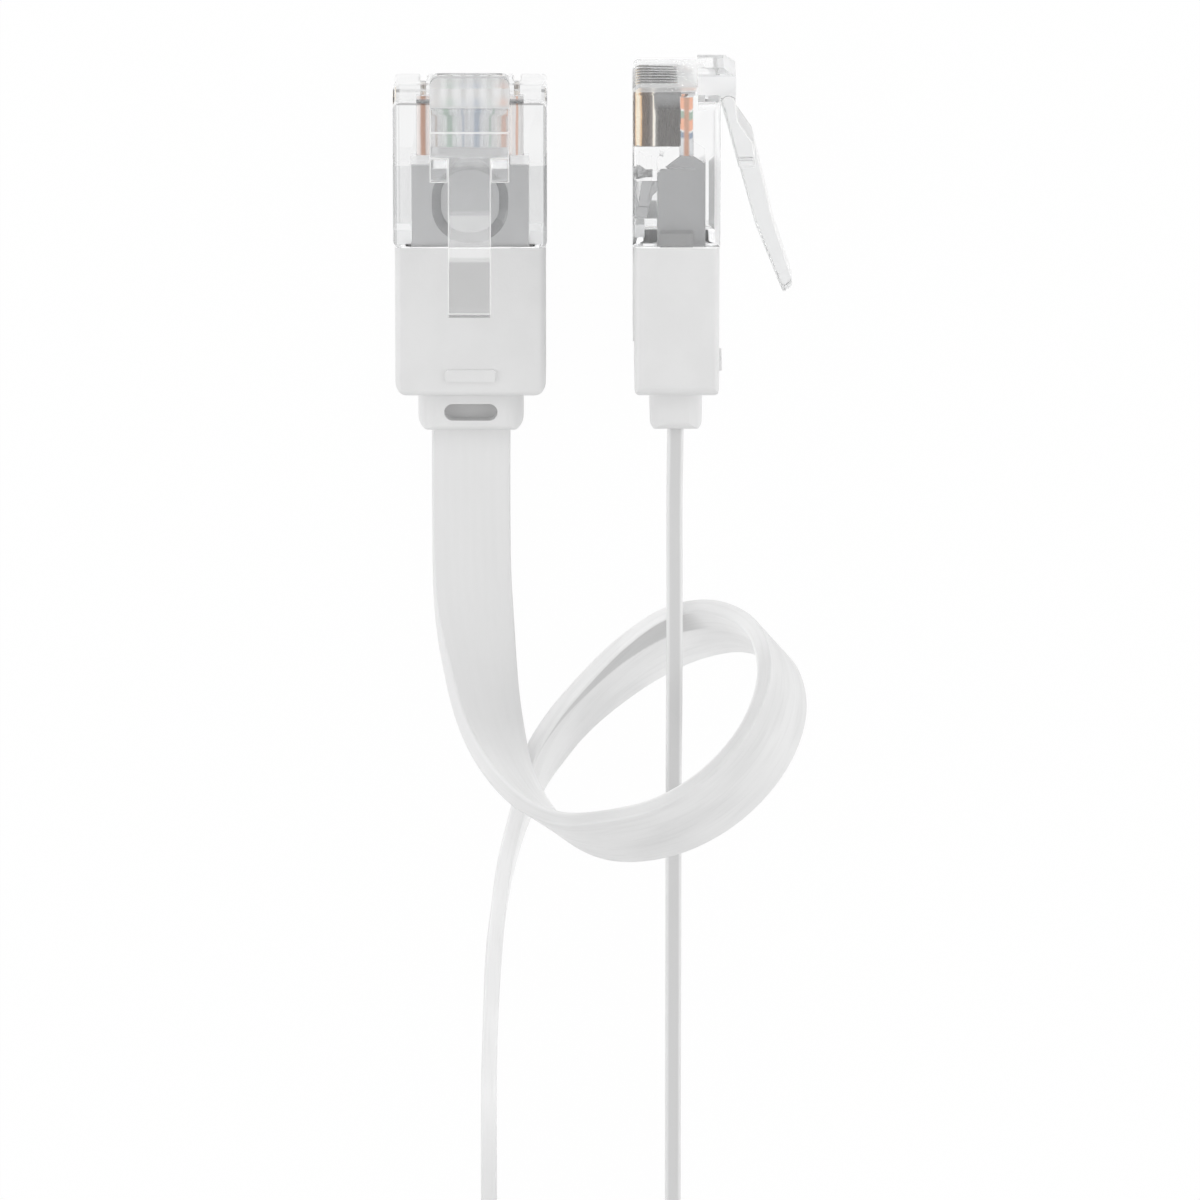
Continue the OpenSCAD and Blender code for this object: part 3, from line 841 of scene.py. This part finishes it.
@dataclass(frozen=True)
class PlugShading:
    """Painted light and shade for one plug: the tones of its clear and inner parts, lighter or darker
    for how light falls on that plug, and which painted finishes it takes.
    """

    # Painted tones: the shell's tint, its dark edge line and round edges, the latch root, arm and
    # bar, and the inner moulding.
    shell: float = 0.84
    outline: float = 0.22
    rim: float = 0.42
    root: float = 0.84
    arm: float = 0.76
    bar: float = 0.50
    mould: float = 0.68
    # The lugs' painted tone and painted glow.
    lug: float = 0.88
    lug_glow: float = 0.42
    # Which painted marks the plug takes: shade on the hollow's slopes (else painted light on the
    # hollow, corners and front face), pale glowing flanks on the inner moulding, and the dark edge
    # line along the front step.
    hollow: bool = True
    flanks: bool = True
    front_line: bool = True
    # Painted light and shade on plug A's arm: lighter in the middle, darker where it reaches over the
    # boot.
    arm_middle: float = 0.98
    arm_end: float = 0.68

    def clear(self, name: str, tone: float, **more: Any) -> ClearPlastic:
        """A clear plastic of this tone, very slightly cool."""
        return ClearPlastic(name, tint=(tone, tone + 0.003, tone + 0.006), **more)


@dataclass
class Plug:
    """One modular plug with its contacts, wires, latch and boot."""

    side: Side
    nose: Triple
    pitch: float = 1.016 * MM
    positions: int = 8
    wire_end: float = 0.95 * MM
    wire_height: float = 4.05 * MM
    strand_radius: float = 0.075 * MM
    body_height: float = 6.6 * MM
    body_width: float = 11.68 * MM
    body_front: float = 1.1 * MM
    body_back: float = 12.3 * MM
    boot_back: float = 23.9 * MM
    bend: float = 9.0 * MM
    overhang: float = 9.0 * MM
    # This plug's painted light and shade.
    look: PlugShading = PlugShading()

    def node(self, part: str) -> str:
        """The full name of one of this plug's nodes."""
        return f"plug_{self.side.value}_{part}"

    def place(self, x: float, y: float, z: float) -> Vector:
        """A point of the plug's own frame, in the row frame."""
        turned = (x, y, z) if self.side is Side.A else (z, y, -x)
        return Vector(self.nose) + Vector(turned)

    def build(self) -> None:
        """Dresses the plug's nodes and adds what the solids leave out."""
        self.dress_clear_parts()
        self.dress_boot()
        self.dress_contacts()
        self.dress_wires()
        self.add_strands()
        log.info("plug %s is dressed", self.side.name)

    def dress_clear_parts(self) -> None:
        """The clear body, its pressed-in bar and the latch, in this plug's painted tones: the bar
        tinted darker as painted shade, and plug A's arm painted lighter in the middle and darker over
        the boot.
        """
        look, tag = self.look, self.side.value
        # Painted highlight: the white line on the latch's round edges and at the seam with the boot.
        bloom = EdgeHighlight("edge_bloom")
        self.dress_housing(bloom)
        # Painted shade: the clear bar tinted darker.
        bar = look.clear(f"clear_bar_{tag}", look.bar, clarity=0.75)
        softened(self.node("clamp"), ROOT, bar, 0.08 * MM)
        seam = self.nose[1] - self.body_back
        stretches: tuple[Triple, ...] = ()
        # Plug A's arm: a painted lighter stretch in the middle and a painted darker stretch where it
        # reaches over the boot.
        if self.side is Side.A:
            bend, change = self.nose[1] - self.bend, seam - 0.1 * MM
            stretches = (change, bend, look.arm_middle), (seam - self.overhang, change, look.arm_end)
        name, latch, body = f"clear_arm_{tag}", self.node("latch"), f"latch_{tag}"
        arm = look.clear(name, look.arm, clarity=0.8, roughness=0.05, stretches=stretches)
        # The latch's round edges take the painted highlight.
        softened(latch, body, arm, 0.15 * MM, edge=bloom, sharp=25)

    def dress_housing(self, bloom: EdgeHighlight) -> None:
        """The clear body, with painted light and shade: a milky, lighter latch root, painted shade on
        the slopes of plug A's hollow, painted light on plug B's hollow, rear corners and front face,
        and a white painted highlight at the seam with the boot.

        Args:
            bloom: The finish of the seam's round edges, a painted highlight.
        """
        look, tag = self.look, self.side.value
        half, top = self.body_width / 2, self.body_height
        front = -self.body_front if look.front_line else self.body_front
        corners = self.place(-half, -2 * self.body_back, 0), self.place(half, front, top)
        low, high = (tuple(pick(a, b) for a, b in zip(*corners)) for pick in (min, max))
        # Painted shade: the colour of the dark line along the box's edges.
        line = (look.outline,) * 3
        box = low, high
        shell = look.clear(f"clear_shell_{tag}", look.shell, clarity=0.96, box=box, edge=line)
        # Painted shade: the darker tint of the body's round edges.
        rim = look.clear(f"clear_rim_{tag}", look.rim)
        # Painted light: a lighter, milky finish.
        root = look.clear(f"clear_root_{tag}", look.root, clarity=0.5, roughness=0.35)
        piece = softened(self.node("housing"), ROOT, shell, 0.07 * MM, edge=rim)
        up = self.place(0, 0, 1) - self.place(0, 0, 0)
        # Painted light on the latch's root, above the body's top.
        paint(piece, root, lambda at, normal: self.local(at)[2] > top / MM + 0.03)
        # Plug A: painted shade on the hollow's slopes. Plug B: painted light on the hollow, the rear
        # corners and the front face.
        if look.hollow:
            paint(piece, rim, lambda at, normal: 0.3 < normal.dot(up) < 0.95 and self.in_hollow(at))
        else:
            paint(piece, root, lambda at, normal: self.in_hollow(at) or self.in_corner(at))
            face = look.clear(f"clear_face_{tag}", 0.97, clarity=0.6, roughness=0.25)
            paint(piece, face, lambda at, normal: normal.y > 0.5 and self.in_front(at), 0)
        # Painted highlight on the round edges at the seam with the boot.
        paint(piece, bloom, lambda at, normal: at.y < self.nose[1] - self.body_back + 0.06 * MM, 1)

    def local(self, at: Vector) -> Triple:
        """How far a point is across the plug, behind its nose and above its underside, in mm."""
        x, y, z = (at - Vector(self.nose)) / MM
        return (x, -y, z) if self.side is Side.A else (-z, -y, x)

    def in_hollow(self, at: Vector) -> bool:
        """Whether a point lies in the hollow under the latch."""
        _, behind, height = self.local(at)
        return 5.7 < behind < 11.9 and 5.8 < height < 6.58

    def in_corner(self, at: Vector) -> bool:
        """Whether a point lies in one of the body's rear corners, beside the inner moulding."""
        _, behind, height = self.local(at)
        return behind > self.body_back / MM - 2.2 and not 1.9 < height < 5.4

    def in_front(self, at: Vector) -> bool:
        """Whether a point lies on the nose, below the latch's root."""
        _, behind, height = self.local(at)
        return behind < 1.2 and height < 4.8

    def in_pill(self, at: Vector, normal: Vector) -> bool:
        """Whether a face belongs to the floor or the walls of the collar's recesses."""
        across, behind, height = self.local(at)
        return 0.8 < behind - self.boot_back / MM < 2.2 and abs(across) < 2.1 and 1.4 < height < 5.2

    def dress_boot(self) -> None:
        """The white boot and the inner moulding, with painted light and shade: a glow on the boot's
        front face at the seam, the lugs lighter with a glow on plug A and darker on plug B, shade on
        the recesses of the collar, and the inner moulding painted grey, with pale glowing flanks on
        plug A.
        """
        look, tag = self.look, self.side.value
        vinyl = SatinMoulding("boot_vinyl")
        boot = softened(self.node("boot"), ROOT, vinyl, 0.1 * MM)
        # Painted light and shade on the lugs: lighter with a glow on plug A, darker on plug B.
        lug = SatinMoulding(f"lug_vinyl_{tag}", colour=(look.lug,) * 3, glow=look.lug_glow)
        # Painted light: a glow on the boot's front face at the seam.
        front = SatinMoulding("front_vinyl", colour=(0.88, 0.88, 0.88), glow=0.42)
        seam = self.nose[1] - self.body_back
        paint(boot, front, lambda at, normal: normal.y > 0.7 and at.y > seam - 0.2 * MM)
        paint(boot, lug, lambda at, normal: at.y > seam + 0.02 * MM)
        # Painted shade on the floor and walls of the collar's recesses.
        recess_shade = SatinMoulding("recess_floor", colour=(0.66, 0.66, 0.66))
        paint(boot, recess_shade, self.in_pill)
        # The inner moulding is white overmould; its grey is painted shade, in this plug's tone.
        grey = (look.mould, look.mould, look.mould + 0.005)
        inner = SatinMoulding(f"inner_moulding_{tag}", colour=grey, roughness=0.5)
        mould = softened(self.node("mould"), ROOT, inner, 0.06 * MM)
        if look.flanks:
            # Painted light: pale, glowing flanks on plug A's inner moulding.
            pale = SatinMoulding("inner_flank", colour=(0.80, 0.80, 0.80), roughness=0.5, glow=0.3)
            sideways = self.place(1, 0, 0) - self.place(0, 0, 0)
            paint(mould, pale, lambda at, normal: abs(normal.dot(sideways)) > 0.8)

    def dress_contacts(self) -> None:
        """The gold-plated blades."""
        up = 2 if self.side is Side.A else 0
        gold = ContactPlating(f"contact_plating_{self.side.value}", nose=self.nose, side=up)
        for i in range(1, self.positions + 1):
            gold.dress(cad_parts[self.node(f"contact_{i}")])

    def dress_wires(self) -> None:
        """Each wire gets its own colour over its own centre line."""
        for i, tone in enumerate(WireTone, 1):
            node = self.node(f"wire_{i}")
            low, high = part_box(node)
            centre = tuple((a + b) / 2 for a, b in zip(low, high))
            Insulation(
                f"insulation_{tone.name.lower()}_{self.side.value}",
                tone=tone,
                centre=centre,
                glimpses=self.side is Side.B and i == self.positions,
            ).dress(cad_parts[node])

    def add_strands(self) -> None:
        """Seven copper strands show at each wire's cut end."""
        name = self.node("strands")
        base = bpy.data.meshes.new(name)
        places = [(self.positions - 1) / 2 - i for i in range(self.positions)]
        ends = [self.place(k * self.pitch, -self.wire_end, self.wire_height) for k in places]
        base.from_pydata([tuple(p) for p in ends], [], [])
        copper = Copper("copper_strands")
        piece = linked(name, base)
        tree = StrandTree().build(copper.material())
        sizes = {"Strand radius": self.strand_radius, "Strand length": 0.04 * MM}
        StrandTree.attach(piece, tree, sizes)
        applied(piece)
        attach(piece, ROOT)
        log.info("piece %s: %d faces", name, len(piece.data.polygons))


class StrandTree:
    """Geometry Nodes that stand a bundle of seven strands on every point."""

    name = "strand_bundles"

    def build(self, material: Material) -> NodeTree:
        """Makes the tree, or finds the one already made.

        Args:
            material: The strands' material.

        Returns:
            The node tree.
        """
        found = bpy.data.node_groups.get(self.name)
        if found:
            return found
        tree = bpy.data.node_groups.new(self.name, "GeometryNodeTree")
        for name, way, kind in (
            ("Geometry", "INPUT", "Geometry"),
            ("Strand radius", "INPUT", "Float"),
            ("Strand length", "INPUT", "Float"),
            ("Geometry", "OUTPUT", "Geometry"),
        ):
            tree.interface.new_socket(name, in_out=way, socket_type=f"NodeSocket{kind}")
        graph = Graph(tree)
        given = graph.outputs("NodeGroupInput")
        radius, length = given["Strand radius"], given["Strand length"]
        size = {"Vertices": 8, "Radius": radius, "Depth": length}
        strand = graph.node("GeometryNodeMeshCylinder", {}, size)
        ring = graph.node("GeometryNodeMeshCircle", {}, {"Vertices": 6, "Radius": radius * 2.0})
        middle = graph.node("GeometryNodeMeshLine", {}, {"Count": 1})
        dots = graph.node("GeometryNodeJoinGeometry", {}, {0: ring})
        tree.links.new(middle.socket, dots.socket.node.inputs[0])
        bundle = graph.node("GeometryNodeInstanceOnPoints", {}, {"Points": dots, "Instance": strand})
        stand = graph.node(
            "GeometryNodeInstanceOnPoints",
            {},
            {"Points": given["Geometry"], "Instance": bundle, "Rotation": (math.pi / 2, 0, 0)},
        )
        real = graph.node("GeometryNodeRealizeInstances", {}, {0: stand})
        painted = graph.node("GeometryNodeSetMaterial", {}, {"Geometry": real, "Material": material})
        graph.node("NodeGroupOutput", {}, {0: painted})
        return tree

    @staticmethod
    def attach(piece: Object, tree: NodeTree, values: dict[str, float]) -> None:
        """Gives a piece the tree as a modifier, with its inputs set by their identifiers.

        Args:
            piece: The piece.
            tree: The node tree.
            values: The inputs' values by their names.
        """
        modifier = piece.modifiers.new(tree.name, "NODES")
        modifier.node_group = tree
        for item in tree.interface.items_tree:
            if item.item_type == "SOCKET" and item.in_out == "INPUT" and item.name in values:
                modifier[item.identifier] = values[item.name]


# ---- Cord ----

# Directions across the cord: it lies flat, leans in the loop, and stands on its edge.
FLAT = (1, 0, 0)
LEAN = (0.5, -0.7, -0.55)
EDGE = (0, 0, -1)

# Rows of the cord's route, in millimetres: a point, and the direction across the cord.
ROUTE_A: list[Row] = [
    (-9.285, -8.95, 3.3, *FLAT),
    (-9.285, -11.7, 3.3, *FLAT),
    (-9.285, -14.45, 3.3, *FLAT),
    (-9.3, -21.4, 3.3, *FLAT),
    (-9.2, -27.4, 3.8, 1, -0.1, -0.1),
    (-8.7, -32.5, 5.2, 0.85, -0.2, -0.4),
    (-7.9, -36.7, 7, 0.8, -0.3, -0.6),
    (-6.5, -40.2, 9.1, 0.6, -0.4, -0.7),
    (-4.1, -42.9, 11.2, 0.5, -0.5, -0.7),
    (-0.9, -44.1, 13.4, 0.5, -0.6, -0.6),
    (2.6, -43.5, 15.8, *LEAN),
    (6.5, -41.9, 17.6, *LEAN),
    (10.2, -39.3, 18, *LEAN),
    (13.1, -36.1, 16.4, *LEAN),
    (14.4, -32.9, 13.1, *LEAN),
    (13.5, -30.4, 9.2, *LEAN),
    (10.6, -29.7, 5.8, *LEAN),
    (7.1, -30.8, 3.5, *LEAN),
    (3.6, -33, 2.7, 0.45, -0.6, -0.65),
    (0.6, -35.5, 2.8, 0.4, -0.5, -0.75),
    (-2, -38.2, 3, 0.4, -0.4, -0.85),
    (-3.9, -41.1, 3.1, 0.35, -0.3, -0.9),
    (-5.2, -44.5, 3.1, 0.2, -0.1, -1),
    (-6.6, -49.2, 3.05, 0.1, 0, -1),
    (-7.6, -55.9, 3, *EDGE),
    (-8, -63.9, 3, *EDGE),
    (-8.1, -71.5, 3, *EDGE),
]
ROUTE_B: list[Row] = [
    (6.325, -7.85, 5.84, *EDGE),
    (6.325, -10.6, 5.84, *EDGE),
    (6.325, -13.35, 5.84, *EDGE),
    (6.25, -19.4, 6.3, *EDGE),
    (6.25, -24.4, 8.2, *EDGE),
    (6.25, -29.4, 9.2, *EDGE),
    (6.25, -34.4, 8.2, *EDGE),
    (6.25, -39.4, 5.2, *EDGE),
    (6.25, -44.4, 3.4, *EDGE),
    (6.25, -49.9, 3, *EDGE),
    (6.25, -60.9, 3, *EDGE),
    (6.25, -71.5, 3, *EDGE),
]


def eased(share: float) -> float:
    """A smooth step from 0 to 1."""
    u = max(0.0, min(1.0, share))
    return u * u * (3 - 2 * u)


def spline(p: float, q: float, r: float, s: float, t: float) -> float:
    """The Catmull-Rom curve at t between q and r, which lie between p and s."""
    square, cube = 2 * p - 5 * q + 4 * r - s, 3 * q - p - 3 * r + s
    return 0.5 * (2 * q + (r - p) * t + square * t**2 + cube * t**3)


def smooth_rows(rows: Sequence[Row], steps: int) -> list[Row]:
    """A Catmull-Rom curve through the rows.

    Args:
        rows: The route's rows.
        steps: How many steps lie from each row to the next.

    Returns:
        The finer rows.
    """
    last = len(rows) - 1
    fine: list[Row] = []
    for i in range(last):
        a, b, c, d = rows[max(i - 1, 0)], rows[i], rows[i + 1], rows[min(i + 2, last)]
        for j in range(steps):
            fine.append(tuple(spline(*four, j / steps) for four in zip(a, b, c, d)))
    return fine + [tuple(rows[last])]


@dataclass
class Coil:
    """The spare length, wound in two layers of a neat round coil; sizes in millimetres."""

    left: float = -8.1
    right: float = 6.25
    start_y: float = -71.5
    bend_y: float = -77.5
    radius: float = 32.4
    turn_pitch: float = 2.6
    floor: float = 3.0
    low: float = 3.8
    layer: float = 6.5
    lead: float = 65.0
    sweep: float = 1390.0
    drop_angle: float = 45.0
    climb: float = 180.0

    @property
    def lead_radius(self) -> float:
        """The radius of the curves that lead in and out."""
        lean = math.cos(math.radians(self.lead))
        return (self.radius * lean - (self.right - self.left) / 2) / (1 - lean)

    @property
    def lead_run(self) -> float:
        """The length of each of those curves."""
        return math.radians(self.lead) * self.lead_radius

    @property
    def last_run(self) -> float:
        """The length of the last stretch, which comes down."""
        return self.lead_run + math.radians(self.drop_angle) * self.radius

    @property
    def centre(self) -> Pair:
        """The coil's middle on the table."""
        turn = math.sin(math.radians(self.lead))
        return (self.left + self.right) / 2, self.bend_y - (self.lead_radius + self.radius) * turn

    def height(self, angle: float) -> float:
        """The centre line's height at an angle along the coil."""
        climb = self.layer * eased((angle - self.sweep / 2) / self.climb + 0.5)
        past = math.radians(angle - self.sweep + self.drop_angle) * self.radius
        return self.low + climb - self.drop(past)

    def drop(self, run: float) -> float:
        """How far the end has come down after a run of its last stretch."""
        return (self.low + self.layer - self.floor) * eased(run / self.last_run)

    def lead_point(self, x: float, way: int, share: float, height: float) -> Triple:
        """A point on the curve between a straight end and the coil.

        Args:
            x: Where the straight end lies.
            way: 1 if the curve bends to the right, -1 if to the left.
            share: How far from the straight end it is, from 0 to 1.
            height: The point's height.

        Returns:
            The point.
        """
        a = math.radians(self.lead * share)
        out = way * self.lead_radius * (1 - math.cos(a))
        return x + out, self.bend_y - self.lead_radius * math.sin(a), height

    def rows(self, step: float = 5.0, lead_steps: int = 16) -> list[Row]:
        """The coil's centre line from its left end to its right end.

        Args:
            step: Degrees from one row to the next.
            lead_steps: Rows in each lead.

        Returns:
            The rows, on edge.
        """
        cx, cy = self.centre
        straight = [self.start_y - (self.start_y - self.bend_y) * i / 4 for i in range(4)]
        points: list[Triple] = [(self.left, y, self.floor) for y in straight]
        for i in range(lead_steps):
            share = i / lead_steps
            height = self.floor + (self.low - self.floor) * eased(share)
            points.append(self.lead_point(self.left, -1, share, height))
        for k in range(int(self.sweep / step) + 1):
            a = k * step
            r = self.radius - self.turn_pitch * min(a, self.sweep - a) / 360
            t = math.radians(180 - self.lead + a)
            points.append((cx + r * math.cos(t), cy + r * math.sin(t), self.height(a)))
        for i in range(1, lead_steps + 1):
            rest = 1 - i / lead_steps
            height = self.low + self.layer - self.drop(self.last_run - self.lead_run * rest)
            points.append(self.lead_point(self.right, 1, rest, height))
        points += [(self.right, y, self.floor) for y in reversed(straight)]
        return [(*p, *EDGE) for p in points]


@dataclass
class FlatCord:
    """The whole flat cord from one plug to the other; sizes in millimetres."""

    width: float = 6.0
    thick: float = 1.2
    round_edge: float = 0.2
    beside: Pair = (0.08, 0.12)
    coil: Coil = field(default_factory=Coil)
    finish: CordJacket = CordJacket("jacket_vinyl")

    def section(self) -> list[Pair]:
        """The cross-section as (across, through): round corners with a close row on each side."""
        w, t, r = self.width / 2, self.thick / 2, self.round_edge
        outline: list[Pair] = []
        for sx, sy, first in ((1, 1, 0), (-1, 1, 90), (-1, -1, 180), (1, -1, 270)):
            before, after = self.beside if first % 180 == 0 else reversed(self.beside)
            for turn, step in ((0, -before), (0, 0), (30, 0), (60, 0), (90, 0), (90, after)):
                a = math.radians(first + turn)
                x, y = math.cos(a), math.sin(a)
                outline.append((sx * (w - r) + r * x - step * y, sy * (t - r) + r * y + step * x))
        return outline

    def rows(self) -> list[Row]:
        """Every row from plug A to plug B."""
        out = smooth_rows(ROUTE_A, 8)
        back = smooth_rows(ROUTE_B, 8)[::-1]
        return out[:-1] + self.coil.rows() + back[1:]

    def build(self, tie: Object) -> Object:
        """Args:
            tie: The strap that holds the coil; not used.

        Returns:
            The cord.
        """
        rows = self.rows()
        centres = [Vector(r[:3]) * MM for r in rows]
        mesh = bpy.data.meshes.new("flat_cord")
        outline = self.section()
        points, faces, marks = self.sweep(rows, centres, outline)
        mesh.from_pydata(points, [], faces)
        layer = mesh.uv_layers.new(name="jacket")
        for k, mark in enumerate(marks):
            layer.data[k].uv = mark
        for face in mesh.polygons:
            face.use_smooth = len(face.vertices) == 4
        mesh.validate()
        piece = put_in_scene("flat_cord", mesh, ROOT, self.finish)
        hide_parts("cable_run_a", "cable_run_b", "cable_coil")
        return piece

    @staticmethod
    def sweep(
        rows: Sequence[Row], centres: Sequence[Vector], outline: Sequence[Pair]
    ) -> tuple[list[tuple[float, ...]], list[tuple[int, ...]], list[Pair]]:
        """Makes a tube with closed ends.

        Args:
            rows: The route's rows, for the direction across the cord.
            centres: The rows' points, in metres.
            outline: The cross-section, in millimetres.

        Returns:
            The tube's points, its faces and each face corner's place on the jacket's map.
        """
        n, m = len(rows), len(outline)
        points: list[tuple[float, ...]] = []
        for i, row in enumerate(rows):
            tangent = (centres[min(i + 1, n - 1)] - centres[max(i - 1, 0)]).normalized()
            wide = Vector(row[3:])
            wide = (wide - wide.dot(tangent) * tangent).normalized()
            thick = tangent.cross(wide)
            points += [tuple(centres[i] + (a * wide + b * thick) * MM) for a, b in outline]
        steps = zip(outline, [*outline[1:], outline[0]])
        along = [0.0, *accumulate((b - a).length for a, b in zip(centres, centres[1:]))]
        round_it = [0.0, *accumulate(math.dist(a, b) * MM for a, b in steps)]
        faces: list[tuple[int, ...]] = []
        marks: list[Pair] = []
        for i in range(n - 1):
            for j in range(m):
                corners = (i, j), (i, j + 1), (i + 1, j + 1), (i + 1, j)
                faces.append(tuple(row * m + column % m for row, column in corners))
                marks += [(along[row], round_it[column]) for row, column in corners]
        for row, ring in ((0, range(m)[::-1]), (n - 1, range(m))):
            faces.append(tuple(row * m + column for column in ring))
            marks += [(along[row], round_it[column]) for column in ring]
        return points, faces, marks


@dataclass
class TieStrap:
    """The hook-and-loop strap round the coil."""

    finish: WovenStrap = WovenStrap("strap_nylon")

    def build(self) -> Object:
        """Makes the strap from its solid, with soft edges."""
        piece = softened("coil_tie", ROOT, self.finish, 0.16 * MM, 3)
        piece.name = "coil_strap"
        return piece


# ---- Studio ----


@dataclass
class Studio:
    """The white table, the soft lamps, the sky and the camera."""

    tilt: float = 14.5
    distance: float = 0.772
    target: Triple = (0.000565, -0.0291, 0.0)
    lens: float = 300.0

    def build(self) -> None:
        """Sets everything up."""
        self.add_camera()
        self.add_floor()
        self.add_lamps()
        self.add_sky()
        bpy.context.scene.view_settings.view_transform = "Standard"

    def add_camera(self) -> None:
        """A long lens nearly straight above, leaning towards the plugs' noses."""
        lens = bpy.data.cameras.new("camera")
        lens.lens = self.lens
        lens.sensor_width = 36.0
        lens.clip_start = 0.01
        lens.clip_end = 20.0
        camera = linked("camera", lens)
        lean = math.radians(self.tilt)
        back = Vector((0, math.sin(lean), math.cos(lean)))
        camera.location = Vector(self.target) + self.distance * back
        camera.rotation_euler = (-lean, 0, 0)
        bpy.context.scene.camera = camera

    def add_floor(self) -> None:
        """A round white table."""
        mesh = bpy.data.meshes.new("floor")
        work = bmesh.new()
        bmesh.ops.create_circle(work, cap_ends=True, segments=96, radius=2.5)
        work.to_mesh(mesh)
        work.free()
        floor = linked("floor", mesh)
        StudioFloor("studio_floor").dress(floor)

    def add_lamps(self) -> None:
        """Two tall soft boxes at the sides, one beyond the noses and a low one at the cord's end."""
        self.lamp("left_box", (-0.75, 0.0, 0.30), (0.45, 0.9), 2.2)
        self.lamp("right_box", (0.75, 0.0, 0.30), (0.45, 0.9), 2.2)
        self.lamp("nose_box", (0.0, 0.85, 0.75), (0.9, 0.5), 1.2)
        self.lamp("tail_box", (0.1, -0.8, 0.10), (0.9, 0.3), 1.0)

    def lamp(self, name: str, place: Sequence[float], size: Pair, power: float) -> None:
        """One soft box that faces the object.

        Args:
            name: The lamp's name.
            place: Where it stands.
            size: Its width and height.
            power: Its power in watts.
        """
        light = bpy.data.lights.new(name, "AREA")
        light.shape = "RECTANGLE"
        light.size, light.size_y = size
        light.energy = power
        thing = linked(name, light)
        thing.location = place
        aim = Vector((0.0, -0.03, 0.0)) - Vector(place)
        thing.rotation_euler = aim.to_track_quat("-Z", "Y").to_euler()

    def add_sky(self) -> None:
        """White to the eye; a dim room with a bright upper half to everything else."""
        world = bpy.data.worlds.new("studio")
        bpy.context.scene.world = world
        world.use_nodes = True
        graph = Graph(world.node_tree)
        way = graph.node("ShaderNodeTexCoord", out="Generated")
        _, y, z = graph.parts(way)
        soft = z.ramp(-0.1, 0.4) * 0.22 + y.ramp(-0.9, 0.5) * 0.10 + 0.40
        crisp = z.ramp(0.12, 0.40) * 0.68 + 0.22
        path = graph.light_path()
        sharp = path["Is Glossy Ray"].most(path["Is Transmission Ray"])
        level = crisp * sharp + soft * (1 - sharp)
        room, white = (
            graph.node("ShaderNodeBackground", {}, {"Color": (1, 1, 1, 1), "Strength": strength})
            for strength in (level, 1.0)
        )
        both = graph.node("ShaderNodeMixShader", {}, {0: path["Is Camera Ray"], 1: room, 2: white})
        graph.node("ShaderNodeOutputWorld", {}, {"Surface": both})


def main() -> None:
    """Builds the camera and the cord first, and then everything else."""
    logging.basicConfig(level=logging.INFO, format="%(message)s")
    Studio().build()
    tie = TieStrap().build()
    FlatCord().build(tie)
    Plug(Side.A, nose=(-9.285 * MM, 12.45 * MM, 0.0)).build()
    # Plug B stands on its edge, so its painted light and shade differ from plug A's.
    upright = PlugShading(
        shell=0.91,
        outline=0.50,
        rim=0.70,
        root=0.98,
        arm=0.86,
        bar=0.54,
        mould=0.40,
        lug=0.30,
        lug_glow=0.0,
        hollow=False,
        flanks=False,
        front_line=False,
    )
    Plug(Side.B, nose=(3.025 * MM, 13.55 * MM, 5.84 * MM), look=upright).build()


if __name__ == "__main__":
    main()
